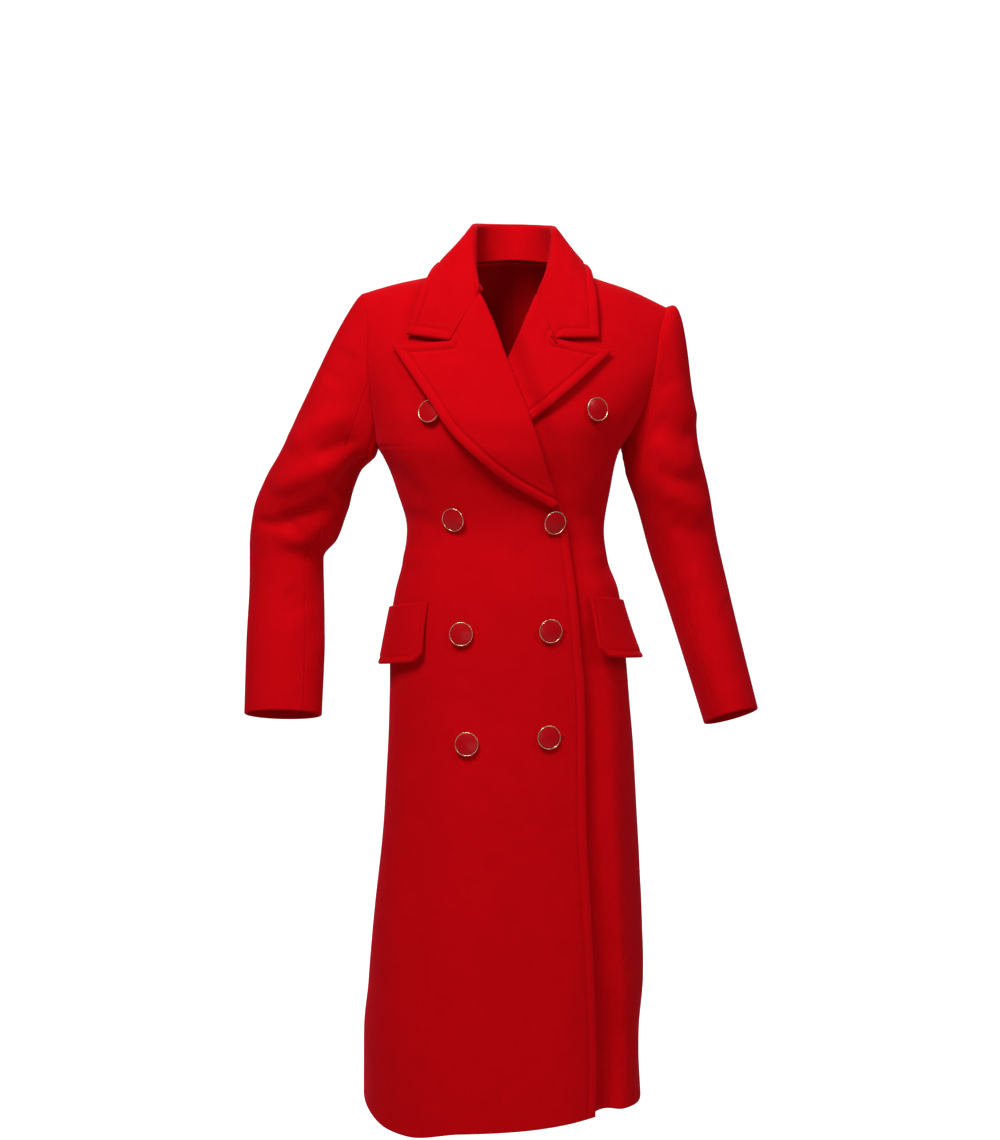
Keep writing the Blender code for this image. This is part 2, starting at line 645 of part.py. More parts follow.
def make_buttons(face_material, rim_material):
    for side, word in ((-1, "right"), (+1, "left")):
        for row, (x, z) in enumerate(BUTTONS[side], start=1):
            place, facing = button_frame(side, float(x), float(z))
            side_way = unit(np.cross((0.0, 0.0, 1.0), facing))
            up_way = np.cross(facing, side_way)
            turned = np.array([side_way, up_way, facing]).T
            for part, profile, closed, material in (
                ("face", face_profile(), False, face_material), ("rim", rim_profile(), True, rim_material),
            ):
                obj = add_turned(f"button_{word}_{row}_{part}", profile, closed, material)
                obj.location = place * MM
                obj.rotation_mode = "QUATERNION"
                obj.rotation_quaternion = Matrix(turned.tolist()).to_quaternion()


def make_material(name, colour, roughness, metallic):
    material = bpy.data.materials.new(name)
    material.use_nodes = True
    shader = material.node_tree.nodes["Principled BSDF"]
    shader.inputs["Base Color"].default_value = colour
    shader.inputs["Roughness"].default_value = roughness
    shader.inputs["Metallic"].default_value = metallic
    return material


def main():
    for obj in list(bpy.data.objects):
        bpy.data.objects.remove(obj)
    wool = make_material("wool", RED, 0.9, 0.0)
    gloss = make_material("button_face", GLOSSY_RED, 0.15, 0.0)
    metal = make_material("button_rim", GOLD, 0.25, 1.0)
    for side, word in ((-1, "right"), (+1, "left")):
        make_panel(f"front_{word}", side, True, FRONT_COLUMNS, wool)
        make_panel(f"back_{word}", side, False, BACK_COLUMNS, wool)
        make_sleeve(side, word, wool)
        make_lapel(side, word, wool)
        make_flap(side, word, wool)
    make_collar(wool)
    make_buttons(gloss, metal)


main()
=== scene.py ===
# %% [markdown]
# A red double-breasted coat in thick felted wool, worn open at the neck and buttoned in four rows.
# This lesson dresses a finished frame: every sewn piece of the coat is a smooth surface worked out with numpy,
# given a thickness, rounded at its edges, stitched and creased. The frame gives the sizes; here come the looks.

# %% Load the frame
import math

import bmesh
import bpy
import numpy as np
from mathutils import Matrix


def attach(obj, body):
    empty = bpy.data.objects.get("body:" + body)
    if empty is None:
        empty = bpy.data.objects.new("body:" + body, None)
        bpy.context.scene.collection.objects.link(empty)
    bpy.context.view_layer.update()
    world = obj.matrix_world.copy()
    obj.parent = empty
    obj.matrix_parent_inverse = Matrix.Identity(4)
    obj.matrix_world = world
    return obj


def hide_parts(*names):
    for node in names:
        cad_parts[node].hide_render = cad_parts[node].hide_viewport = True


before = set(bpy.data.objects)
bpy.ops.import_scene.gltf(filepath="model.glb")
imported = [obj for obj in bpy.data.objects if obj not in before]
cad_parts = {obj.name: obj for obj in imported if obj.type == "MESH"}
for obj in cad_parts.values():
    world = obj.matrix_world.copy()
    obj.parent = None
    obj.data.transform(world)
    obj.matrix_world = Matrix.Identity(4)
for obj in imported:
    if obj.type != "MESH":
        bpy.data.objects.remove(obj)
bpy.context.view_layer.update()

# %% [markdown]
# All tables are in millimetres, as a pattern cutter would write them, and the meshes are made in metres.
# The front of the coat faces -Y and the wearer's left is +X, so side +1 is the wearer's left.
# Most shapes are curves read from short tables. A monotone cubic keeps such a curve smooth with no overshoot,
# so a table needs a row only where the form changes.

# %% Smooth tables and small helpers
MM = 0.001
SIDES = {-1: "right", +1: "left"}


def read(table, value):
    """A cubic through the rows, whose slope at a row is the harmonic mean of its neighbours' slopes."""
    at = table[:, 0].astype(float)
    held = table[:, 1:].astype(float)
    slope = np.diff(held, axis=0) / np.diff(at)[:, None]
    same_way = slope[1:] * slope[:-1] > 0
    total = np.where(same_way, slope[1:] + slope[:-1], 1.0)
    inner = np.where(same_way, 2 * slope[1:] * slope[:-1] / total, 0.0)
    rise = np.concatenate([slope[:1], inner, slope[-1:]])
    value = np.clip(np.asarray(value, float), at[0], at[-1])
    k = np.clip(np.searchsorted(at, value, side="right") - 1, 0, len(at) - 2)
    gap = np.diff(at)[k][..., None]
    t = (value - at[k])[..., None] / gap
    found = (
        (1 + 2 * t) * (1 - t) ** 2 * held[k] + t * (1 - t) ** 2 * gap * rise[k]
        + t * t * (3 - 2 * t) * held[k + 1] + t * t * (t - 1) * gap * rise[k + 1]
    )
    return found[..., 0] if held.shape[1] == 1 else found


def eased(t):
    """0 below 0, 1 above 1 and 3t^2 - 2t^3 between."""
    t = np.clip(t, 0, 1)
    return t * t * (3 - 2 * t)


def blend(a, b, t):
    return a + (b - a) * t


def unit(vectors):
    return vectors / np.maximum(np.linalg.norm(vectors, axis=-1, keepdims=True), 1e-9)


def bell(value, width):
    """A soft ridge: e to the minus (value over width) squared."""
    return np.exp(-((value / width) ** 2))


def bent(value, power):
    return np.sign(value) * np.abs(value) ** power


def quarter(across, power):
    """The height of a quarter superellipse: (1 - across^power)^(1/power)."""
    return (1 - np.clip(np.abs(across), 0, 1) ** power) ** (1 / power)


# %% [markdown]
# The body of the coat is one form that all the panels share. Each level is a superellipse, squarer than an
# oval, with its own depth in front and behind, and near the shoulders the depth rounds off to nothing at the
# shoulder seam. A panel is then only a stretch of that form, so neighbours meet along their seams.

# %% Body sizes
HEM = -1080.0
ARMPIT = -235.0
BACK_NECK = 12.0
NECK_HALF_WIDTH = 68.0
POWER = 2.4
BODY_COLUMNS = ("height", "centre", "half_width", "front", "back")
BODY = np.array([
    (-1080, -14, 184, 165, 165), (-995, -16, 181, 157, 160), (-929, -10, 180, 150, 156),
    (-829, -6, 174, 142, 150),
    (-749, -3, 168, 134, 146), (-630, -3, 161, 124, 142), (-550, -5, 156, 118, 138), (-458, -8, 151, 113, 130),
    (-419, -8, 145, 109, 121), (-380, -10, 133, 103, 104), (-341, -10, 128, 98, 90), (-283, -13, 140, 108, 98),
    (-244, -17, 152, 118, 107), (-235, -18, 157, 119, 109), (-207, -11, 171, 118, 113),
    (-167, -4, 190, 107, 117),
    (-120, 0, 213, 92, 117), (-50, 0, 228, 78, 110), (20, 0, 236, 68, 100),
])
SHOULDER = np.array([(-210, -41), (-195, -36), (-150, -23), (-100, -12), (-68, 0), (0, 30),
                     (68, 0), (100, -14), (150, -31), (197, -53), (212, -60)])
CHEST_DROP = 160.0
BACK_DROP = 100.0
DROP_POWER = 2.2
ARMHOLE = {
    -1: np.array([(-235, -175), (-207, -177), (-167, -182), (-130, -185), (-80, -185), (-36, -195)]),
    +1: np.array([(-235, 139), (-212, 154), (-180, 169), (-140, 179), (-90, 186), (-53, 197)]),
}
STRAIGHT_EDGE = {
    -1: np.array([(-1080, 104), (-1015, 106), (-918, 103), (-788, 96), (-708, 92), (-540, 90), (-492, 86),
                  (-423, 80), (-382, 75)]),
    +1: np.array([(-1080, -90), (-708, -90), (-423, -86)]),
}
ROLL_LINE = {
    -1: np.array([(-322, 65), (-291, 52), (-200, 22), (-123, -8), (-62, -31), (-30, -46)]),
    +1: np.array([(-322, -76), (-200, -42), (-123, -8), (-88, 8), (-62, 19), (-35, 30)]),
}
NECK_SEAM = {-1: np.array([(-42, -48), (-20, -61), (0, -70)]), +1: np.array([(-42, 42), (-20, 59), (0, 70)])}
FRONT_EDGE = {
    side: np.concatenate([STRAIGHT_EDGE[side], ROLL_LINE[side][:-1], NECK_SEAM[side]]) for side in SIDES
}
HEM_LIFT = np.array([(-200, -3), (-162, -16), (-137, -17), (-66, -4), (0, -1), (76, 7), (104, 9), (142, 10),
                     (175, 0)])
HEM_FADE = 260.0
print("body table:", len(BODY), "levels of", ", ".join(BODY_COLUMNS))

# %% [markdown]
# The left front lies under the right one, so it runs a few millimetres further in and comes out again beyond
# the edge. Below the waist the real coat falls into a deep valley there, with a broad soft ridge beside it.

# %% Body form
TUCK = np.array([(-1080, 8), (-600, 8), (-330, 8), (-250, 15), (-100, 16), (0, 6)])
TUCK_WIDTH = 34.0
VALLEY = np.array([(-1080, 15), (-900, 14), (-700, 9), (-480, 2), (-400, 0), (0, 0)])
VALLEY_AT = 12.0
VALLEY_WIDTH = 16.0
RIDGE_AT = 42.0
RIDGE_HEIGHT = 0.45


def section(z):
    return np.moveaxis(read(BODY, z), -1, 0)


def drop(x, z, reach):
    """How full the body is this far below the shoulder seam."""
    below = np.clip((read(SHOULDER, x) - z) / reach, 0, 1)
    return quarter(1 - below, DROP_POWER)


def tuck(x, z):
    """How far in the left front lies: an eased step, plus a bell for the valley, less a bell for the ridge."""
    past = x - read(FRONT_EDGE[-1], z)
    under = read(TUCK, z) * (1 - eased((past - 2) / TUCK_WIDTH))
    valley = read(VALLEY, z) * bell(past - VALLEY_AT, VALLEY_WIDTH)
    ridge = RIDGE_HEIGHT * read(VALLEY, z) * bell(past - RIDGE_AT, VALLEY_WIDTH)
    return under + valley - ridge


def body_y(x, z, is_front):
    """The depth at a place seen from the front: a superellipse across, rounded off toward the shoulder."""
    centre, half_width, front, back = section(z)
    full = quarter((x - centre) / half_width, POWER)
    return -front * full * drop(x, z, CHEST_DROP) if is_front else back * full * drop(x, z, BACK_DROP)


def turn_at(x, z):
    """The angle round the body at which its section has this x."""
    centre, half_width, _, _ = section(z)
    return np.arcsin(np.clip(bent((x - centre) / half_width, POWER / 2), -1, 1))


def body_point(turn, z):
    """x and y are the signed powers 2/POWER of sine and cosine, times the section's half sizes."""
    centre, half_width, front, back = section(z)
    x = centre + half_width * bent(np.sin(turn), 2 / POWER)
    depth = np.where(np.cos(turn) > 0, -front, back)
    return np.stack([x, depth * np.abs(np.cos(turn)) ** (2 / POWER), z + 0 * x], axis=-1)


def on_front(side, places, off):
    """Points this far off the outer face of a front, at places (x, z) seen from the front."""
    x, z = places[..., 0], places[..., 1]
    y = body_y(x, z, True) + (tuck(x, z) if side > 0 else 0)
    return np.stack([x, y - off, z], axis=-1)


ROWS_BELOW = 190
ROWS_ABOVE = 60
CROWD_TOP = math.pi / 2 * 0.9


def panel_grid(side, is_front, columns):
    """Rows run from the hem to the shoulder, columns at equal turns from the middle edge to the side."""
    shoulder_end = ARMHOLE[side][-1, 0]
    below = blend(HEM, ARMPIT, np.linspace(0, 1, ROWS_BELOW + 1)[:-1])
    way = np.sin(np.linspace(0, 1, ROWS_ABOVE + 1) * CROWD_TOP) / math.sin(CROWD_TOP)
    level = np.concatenate([below, blend(ARMPIT, shoulder_end, way)])
    edge_level = np.concatenate([below, blend(ARMPIT, 0.0, way)])
    way = np.concatenate([0 * below, way])[:, None]
    middle = read(FRONT_EDGE[side], edge_level) if is_front else 0 * level
    outer = np.where(level > ARMPIT, turn_at(read(ARMHOLE[side], level), level), side * math.pi / 2)
    turn = blend(turn_at(middle, level)[:, None], outer[:, None], np.linspace(0, 1, columns))
    centre, half_width, front, back = section(level[:, None])
    x = centre + half_width * bent(np.sin(turn), 2 / POWER)
    x[:, 0] = middle
    x[level >= ARMPIT, -1] = read(ARMHOLE[side], level[level >= ARMPIT])
    across = np.clip(np.abs(x) / NECK_HALF_WIDTH, 0, 1)
    neck = 0.0 if is_front else BACK_NECK * (1 - across ** 2)
    top = np.where(across < 1, neck, read(SHOULDER, x))
    lift = read(HEM_LIFT, x) * (1 - eased((level[:, None] - HEM) / HEM_FADE))
    z = np.where(way > 0, blend(ARMPIT, top, way), level[:, None] + lift)
    depth = (-front if is_front else back) * np.abs(np.cos(turn)) ** (2 / POWER)
    y = np.where(way > 0, body_y(x, z, is_front), depth)
    if is_front and side > 0:
        y = y + tuck(x, z)
    y[-1] = np.where(np.abs(x[-1]) < NECK_HALF_WIDTH - 1, y[-1], 0.0)
    return np.stack([x, y, z], axis=-1)


print("a front panel's grid:", panel_grid(-1, True, 61).shape)

# %% [markdown]
# Every cloth piece is built by one function. It takes the outer form as a grid of points, re-cuts the grid so
# that lines crowd where an edge rolls over or a stitch line sinks, pushes the points in and out for creases,
# and lays a second skin one wall further in. The two skins share their border points, so the shell is closed,
# and near the border both bend to the middle of the wall, which gives the soft half-round edge of thick felt.

# %% Re-cutting a grid
ROUND = np.array([0.0, 0.076, 0.293, 0.617, 1.0])
STITCH_IN = 11.5
STITCHED_LINES = np.array([3.5, 5.2, 7.0, 8.6, 9.7, 10.5, 11.1, 11.9, 12.5, 13.3, 14.4, 16.0])
MOST_OF_ROW = 0.45
EDGE_ROUND = {"free": 1.0, "stitched": 1.0, "seam": 0.25}


def run_along(grid):
    """The length walked along each row of a grid, from its first column."""
    step = np.linalg.norm(np.diff(grid, axis=1), axis=-1)
    return np.concatenate([np.zeros((len(grid), 1)), np.cumsum(step, axis=1)], axis=1)


def lines_at(grid, distance):
    """Points at given distances along each row, on the straight run between the two nearest columns."""
    run = run_along(grid)
    k = np.clip((run[:, :, None] <= distance[:, None, :]).sum(axis=1) - 1, 0, grid.shape[1] - 2)
    row = np.arange(len(grid))[:, None]
    t = (distance - run[row, k]) / np.maximum(run[row, k + 1] - run[row, k], 1e-9)
    return grid[row, k] + (grid[row, k + 1] - grid[row, k]) * t[..., None]


def crowd(edge, wall):
    """How far from an edge its close lines lie."""
    near = ROUND * EDGE_ROUND[edge] * wall / 2
    return np.concatenate([near, STITCHED_LINES]) if edge == "stitched" else near


def recut(grid, first, last, wall, pitch):
    """Close lines at both ends of each row, and even ones a pitch apart between them."""
    length = run_along(grid)[:, -1:]
    near, far = crowd(first, wall), crowd(last, wall)
    fit = np.clip(MOST_OF_ROW * length / max(near[-1], far[-1]), 0, 1)
    count = max(2, int(length.max() / pitch))
    share = np.linspace(0, 1, count + 2)[1:-1]
    middle = blend(near[-1] * fit, length - far[-1] * fit, share)
    return lines_at(grid, np.concatenate([near * fit, middle, length - far[::-1] * fit], axis=1))


def turned(grid):
    return np.swapaxes(grid, 0, 1)


# %% Building a closed shell
def add_mesh(name, points, faces, material):
    """Puts whole arrays of points in millimetres, and of faces, into a new smooth mesh."""
    mesh = bpy.data.meshes.new(name)
    mesh.vertices.add(len(points))
    mesh.vertices.foreach_set("co", (points * MM).astype(np.float32).ravel())
    mesh.loops.add(faces.size)
    mesh.loops.foreach_set("vertex_index", faces.astype(np.int32).ravel())
    mesh.polygons.add(len(faces))
    mesh.polygons.foreach_set("loop_start", np.arange(len(faces), dtype=np.int32) * faces.shape[1])
    mesh.update(calc_edges=True)
    mesh.validate()
    mesh.shade_smooth()
    mesh.materials.append(material)
    obj = bpy.data.objects.new(name, mesh)
    bpy.context.collection.objects.link(obj)
    return obj


def inward_of(grid, outward):
    """Unit normals of a grid, turned away from a given direction at its middle."""
    crossed = unit(np.cross(np.gradient(grid, axis=0), np.gradient(grid, axis=1)))
    middle = crossed[grid.shape[0] // 2, grid.shape[1] // 2]
    return -crossed if np.dot(middle, outward) > 0 else crossed


def edge_distances(grid):
    """How far each point lies from the first and last row and the first and last column."""
    down = turned(run_along(turned(grid)))
    across = run_along(grid)
    return down, down[-1:] - down, across, across[:, -1:] - across


def skins(outer, inner, name, material):
    """Joins two grids that share their border points into one closed mesh whose faces point outwards."""
    rows, columns = outer.shape[:2]
    number = np.arange(rows * columns).reshape(rows, columns)
    below = number.copy()
    below[1:-1, 1:-1] = rows * columns + np.arange((rows - 2) * (columns - 2)).reshape(rows - 2, columns - 2)
    quads = []
    for sheet, flip in ((number, False), (below, True)):
        corner = [sheet[:-1, :-1], sheet[:-1, 1:], sheet[1:, 1:], sheet[1:, :-1]]
        quads.append(np.stack(corner[::-1] if flip else corner, axis=-1).reshape(-1, 4))
    points = np.concatenate([outer.reshape(-1, 3), inner[1:-1, 1:-1].reshape(-1, 3)])
    a, b, c, d = (points[quads[0][:, i]] for i in range(4))
    facing = (np.cross(c - a, d - b) * (outer - inner)[:-1, :-1].reshape(-1, 3)).sum()
    faces = np.concatenate(quads)
    return add_mesh(name, points, faces if facing > 0 else faces[:, ::-1], material)


SHAPES = {}


def cloth(name, grid, wall, pitch, edges, outward, material, relief=None, aims=()):
    """A thick piece on a grid. edges names its first and last row, then its first and last column. relief
    gives two depths, of both skins and of the outer one alone. aims are (edge, direction, reach) rows."""
    grid = recut(grid, edges[2], edges[3], wall, pitch)
    grid = turned(recut(turned(grid), edges[0], edges[1], wall, pitch))
    inward = inward_of(grid, outward)
    away = edge_distances(grid)
    for edge, direction, reach in aims:
        wanted = direction(grid) if callable(direction) else np.asarray(direction, float)
        inward = unit(blend(inward, wanted, bell(away[edge], reach)[..., None]))
    roll = np.zeros(grid.shape[:2])
    for edge, distance in zip(edges, away):
        roll = np.maximum(roll, np.clip(1 - distance / (EDGE_ROUND[edge] * wall / 2), 0, 1))
    in_wall = wall / 2 * (1 - np.sqrt(1 - roll ** 2))
    both, outer_only = relief(grid, away) if relief else (0.0, 0.0)
    outer_depth = in_wall + both + outer_only * (1 - roll)
    outer = grid + inward * outer_depth[..., None]
    inner = grid + inward * (wall - in_wall + both)[..., None]
    piece = skins(outer, inner, name, material)
    SHAPES[name] = (outer, inward, away)
    print(name, "grid", grid.shape[:2], "faces", len(piece.data.polygons))
    return piece


# %% [markdown]
# A crease in cloth is a soft trough or ridge along a bent line. Each row of a crease table gives such a line as
# it is seen from the front: x1, z1, x2, z2, x3, z3, depth and width. Depth counts inward, so a ridge has a
# negative one. It dies out at both ends, and no two rows are alike, because real folds are uneven.

# %% Creases and stitch grooves
CREASE_FADE = 4


def near_path(places, path):
    """The distance from each place to a bent line, and how far along it the nearest point lies."""
    start, way = path[:-1], np.diff(path, axis=0)
    length = np.linalg.norm(way, axis=-1)
    off = places[..., None, :] - start
    t = np.clip((off * way).sum(axis=-1) / length ** 2, 0, 1)
    away = np.linalg.norm(off - way * t[..., None], axis=-1)
    nearest = away.argmin(axis=-1)[..., None]
    before = np.concatenate([[0], np.cumsum(length)])
    along = np.take_along_axis(before[:-1] + t * length, nearest, axis=-1)[..., 0] / before[-1]
    return np.take_along_axis(away, nearest, axis=-1)[..., 0], along


def creases(points, rows):
    """The summed depth of a table's creases: each a bell across its line, eased out at its two ends."""
    depth = np.zeros(points.shape[:-1])
    for x1, z1, x2, z2, x3, z3, deep, width in rows:
        away, along = near_path(points[..., [0, 2]], np.array([(x1, z1), (x2, z2), (x3, z3)], float))
        depth += deep * bell(away, width) * eased(along * CREASE_FADE) * eased((1 - along) * CREASE_FADE)
    return depth


GROOVE = 1.5
GROOVE_WIDTH = 2.2
BORDER_SWELL = 0.9


def stitched_border(distance):
    """A row of stitches sinks the felt in a narrow bell, and the border outside it swells a little."""
    swell = BORDER_SWELL * np.sin(np.clip(distance / STITCH_IN, 0, 1) * math.pi)
    return GROOVE * bell(distance - STITCH_IN, GROOVE_WIDTH) - swell


# %% [markdown]
# Felted wool scatters light in all directions, with a faint glow where it is seen at a low angle. Its surface
# is a tangle of short fibres, so the bump is a fine noise with a coarser one under it, and the dye takes a
# little unevenly. The two noises are one node group, used by the cloth and, finer, by the sewing thread.

# %% A node group for nap and mottle
def new_link(tree, a, b):
    tree.links.new(a, b)


def nap_group():
    """Nap is fine noise plus a share of coarser noise; Mottle is a wide soft noise from 0 to 1."""
    tree = bpy.data.node_groups.new("nap_and_mottle", "ShaderNodeTree")
    tree.interface.new_socket("Place", in_out="INPUT", socket_type="NodeSocketVector")
    tree.interface.new_socket("Fibre Scale", in_out="INPUT", socket_type="NodeSocketFloat")
    tree.interface.new_socket("Mottle Scale", in_out="INPUT", socket_type="NodeSocketFloat")
    tree.interface.new_socket("Nap", in_out="OUTPUT", socket_type="NodeSocketFloat")
    tree.interface.new_socket("Mottle", in_out="OUTPUT", socket_type="NodeSocketFloat")
    given = tree.nodes.new("NodeGroupInput")
    result = tree.nodes.new("NodeGroupOutput")
    fibre = tree.nodes.new("ShaderNodeTexNoise")
    fibre.inputs["Detail"].default_value = 5.0
    fibre.inputs["Roughness"].default_value = 0.72
    clump_scale = tree.nodes.new("ShaderNodeMath")
    clump_scale.operation = "MULTIPLY"
    clump_scale.inputs[1].default_value = 0.22
    clump = tree.nodes.new("ShaderNodeTexNoise")
    clump.inputs["Detail"].default_value = 2.0
    nap = tree.nodes.new("ShaderNodeMath")
    nap.operation = "MULTIPLY_ADD"
    nap.inputs[1].default_value = 0.6
    wide = tree.nodes.new("ShaderNodeTexNoise")
    wide.inputs["Detail"].default_value = 4.0
    for noise in (fibre, clump, wide):
        new_link(tree, given.outputs["Place"], noise.inputs["Vector"])
    new_link(tree, given.outputs["Fibre Scale"], fibre.inputs["Scale"])
    new_link(tree, given.outputs["Fibre Scale"], clump_scale.inputs[0])
    new_link(tree, clump_scale.outputs[0], clump.inputs["Scale"])
    new_link(tree, given.outputs["Mottle Scale"], wide.inputs["Scale"])
    new_link(tree, clump.outputs["Fac"], nap.inputs[0])
    new_link(tree, fibre.outputs["Fac"], nap.inputs[2])
    new_link(tree, nap.outputs[0], result.inputs["Nap"])
    new_link(tree, wide.outputs["Fac"], result.inputs["Mottle"])
    return tree


NAP = nap_group()


# %% Materials
def napped(name, dark, light, fibre, mottle, bump, height, settings):
    """A Principled material whose colour runs from dark to light by the mottle and whose bump is the nap."""
    material = bpy.data.materials.new(name)
    material.use_nodes = True
    tree = material.node_tree
    shader = tree.nodes["Principled BSDF"]
    for socket, value in settings.items():
        shader.inputs[socket].default_value = value
    place = tree.nodes.new("ShaderNodeTexCoord")
    noise = tree.nodes.new("ShaderNodeGroup")
    noise.node_tree = NAP
    noise.inputs["Fibre Scale"].default_value = fibre
    noise.inputs["Mottle Scale"].default_value = mottle
    ramp = tree.nodes.new("ShaderNodeValToRGB")
    ramp.color_ramp.elements[0].position = 0.3
    ramp.color_ramp.elements[0].color = (*dark, 1.0)
    ramp.color_ramp.elements[1].position = 0.7
    ramp.color_ramp.elements[1].color = (*light, 1.0)
    relief = tree.nodes.new("ShaderNodeBump")
    relief.inputs["Strength"].default_value = bump
    relief.inputs["Distance"].default_value = height
    new_link(tree, place.outputs["Object"], noise.inputs["Place"])
    new_link(tree, noise.outputs["Mottle"], ramp.inputs["Fac"])
    new_link(tree, ramp.outputs["Color"], shader.inputs["Base Color"])
    new_link(tree, noise.outputs["Nap"], relief.inputs["Height"])
    new_link(tree, relief.outputs["Normal"], shader.inputs["Normal"])
    return material


WOOL = napped("red_melton", (0.535, 0.0006, 0.0034), (0.57, 0.0008, 0.0042), 1500.0, 38.0, 0.30, 0.0003, {
    "Roughness": 0.95, "Specular IOR Level": 0.04, "Sheen Weight": 0.28, "Sheen Roughness": 0.45,
    "Sheen Tint": (1.0, 0.02, 0.06, 1.0),
})
THREAD = napped("red_thread", (0.50, 0.0006, 0.0034), (0.56, 0.0008, 0.0042), 4000.0, 300.0, 0.4, 0.0001, {
    "Roughness": 0.8, "Specular IOR Level": 0.05, "Sheen Weight": 0.2, "Sheen Tint": (1.0, 0.02, 0.06, 1.0),
})
ENAMEL = napped("button_enamel", (0.42, 0.0008, 0.004), (0.47, 0.001, 0.006), 90.0, 60.0, 0.02, 0.0001, {
    "Roughness": 0.3, "Specular IOR Level": 0.12, "Coat Weight": 0.12, "Coat Roughness": 0.06,
})
GOLD = napped("rose_gold", (0.86, 0.50, 0.33), (0.94, 0.60, 0.42), 700.0, 260.0, 0.05, 0.0001, {
    "Roughness": 0.24, "Metallic": 1.0,
})
print("materials:", [material.name for material in (WOOL, THREAD, ENAMEL, GOLD)])

# %% [markdown]
# The four body panels are cut from the one body form. Their creases are listed one by one: soft drags from the
# waist, a slack fold under each arm, and long shallow flutes in the skirt, which end before the hem. They fade
# out near a seam, so that neighbours still meet there. The backs get similar ones, because a coat that is worn
# folds behind as it does in front.

# %% Fronts and backs
WALL = 3.0
BODY_PITCH = 5.2
FRONT_CREASES = {
    -1: [(-160, -330, -120, -322, -86, -338, 1.6, 9), (-158, -372, -120, -378, -84, -366, -1.3, 10),
         (-168, -250, -140, -275, -112, -306, 2.2, 12), (-150, -236, -124, -262, -104, -296, -1.5, 11),
         (-120, -520, -116, -700, -124, -960, 2.4, 26), (-70, -560, -74, -760, -66, -1010, -1.8, 30),
         (20, -640, 26, -820, 18, -1040, 1.6, 28), (-160, -700, -166, -860, -160, -1020, -2.2, 20),
         (-40, -352, -6, -372, 34, -366, 1.0, 12), (-30, -420, 10, -430, 56, -420, -0.7, 16)],
    +1: [(140, -250, 122, -276, 100, -306, 2.0, 11), (118, -326, 98, -318, 84, -330, 1.5, 9),
         (120, -370, 100, -376, 84, -366, -1.2, 10), (150, -520, 156, -700, 148, -960, 2.0, 18),
         (128, -236, 106, -262, 90, -290, -1.4, 10), (162, -760, 168, -900, 160, -1040, -2.0, 16)],
}
BACK_CREASES = {
    -1: [(-150, -318, -100, -330, -40, -322, 1.8, 10), (-150, -360, -96, -350, -30, -362, -1.6, 12),
         (-165, -240, -130, -262, -96, -300, 2.2, 13), (-120, -520, -112, -720, -122, -980, 2.4, 26),
         (-60, -560, -66, -780, -58, -1020, -2.0, 28), (-150, -90, -120, -140, -112, -200, 1.2, 16)],
    +1: [(130, -322, 90, -334, 34, -324, 1.7, 10), (132, -366, 84, -354, 28, -364, -1.5, 12),
         (150, -238, 122, -260, 92, -296, 2.0, 12), (112, -540, 120, -740, 110, -990, 2.2, 24),
         (52, -580, 46, -760, 54, -1010, -1.8, 30), (150, -96, 124, -146, 108, -204, 1.1, 15)],
}
HEM_WAVE = 2.0
HEM_WAVE_REACH = 170.0
HEM_WAVE_RUN = (21.0, 34.0)
SEAM_FADE = 24.0
BREAK_DROP = 6
BREAK_FADE = 12
FRONT_BORDER = 0.75
PANEL_COLUMNS = {True: 64, False: 44}
SIDE_AIM = 8.0
SHOULDER_AIM = 4.0


def armhole_inward(points):
    """Level with the armhole's opening, toward its middle height."""
    toward = np.array([0.0, 0.0, (ARMPIT + points[..., 2].max()) / 2]) - points
    toward[..., 0] = 0.0
    return unit(toward)


def panel_inward_at_side(side):
    """Straight in at the side seam below the armpit, and toward the armhole's middle above it."""
    def direction(grid):
        above = (grid[..., 2] > ARMPIT)[..., None]
        return np.where(above, armhole_inward(grid), np.array([-side, 0.0, 0.0]))
    return direction


def shoulder_inward(grid):
    """Down, square to the shoulder seam."""
    slope = np.gradient(read(SHOULDER, grid[..., 0]), axis=1) / np.gradient(grid[..., 0], axis=1)
    return unit(np.stack([slope, 0 * slope, -1 + 0 * slope], axis=-1))


def body_relief(rows, stitched):
    """Creases, a slow wave near the hem and, on a faced edge, the stitched border up to the break."""
    def relief(grid, away):
        run_x, run_y = HEM_WAVE_RUN
        hem = HEM_WAVE * bell(grid[..., 2] - HEM, HEM_WAVE_REACH)
        wave = hem * np.sin(grid[..., 0] / run_x + grid[..., 1] / run_y)
        from_seam = away[3] if stitched else np.minimum(away[2], away[3])
        both = creases(grid, rows) * eased(from_seam / SEAM_FADE) + wave
        below_break = eased((ROLL_LINE[-1][0, 0] - BREAK_DROP - grid[..., 2]) / BREAK_FADE)
        return both, stitched_border(away[2]) * below_break * FRONT_BORDER if stitched else 0.0
    return relief


PIECES = []
for side, word in SIDES.items():
    for is_front in (True, False):
        name = f"{'front' if is_front else 'back'}_{word}"
        aims = [(3, panel_inward_at_side(side), SIDE_AIM), (1, shoulder_inward, SHOULDER_AIM)]
        edges = ("free", "seam", "stitched" if is_front else "seam", "seam")
        rows = FRONT_CREASES[side] if is_front else BACK_CREASES[side]
        piece = cloth(
            f"cloth_{name}", panel_grid(side, is_front, PANEL_COLUMNS[is_front]), WALL, BODY_PITCH, edges,
            (0, -1 if is_front else 1, 0), WOOL, body_relief(rows, is_front), aims,
        )
        PIECES.append((piece, [name]))

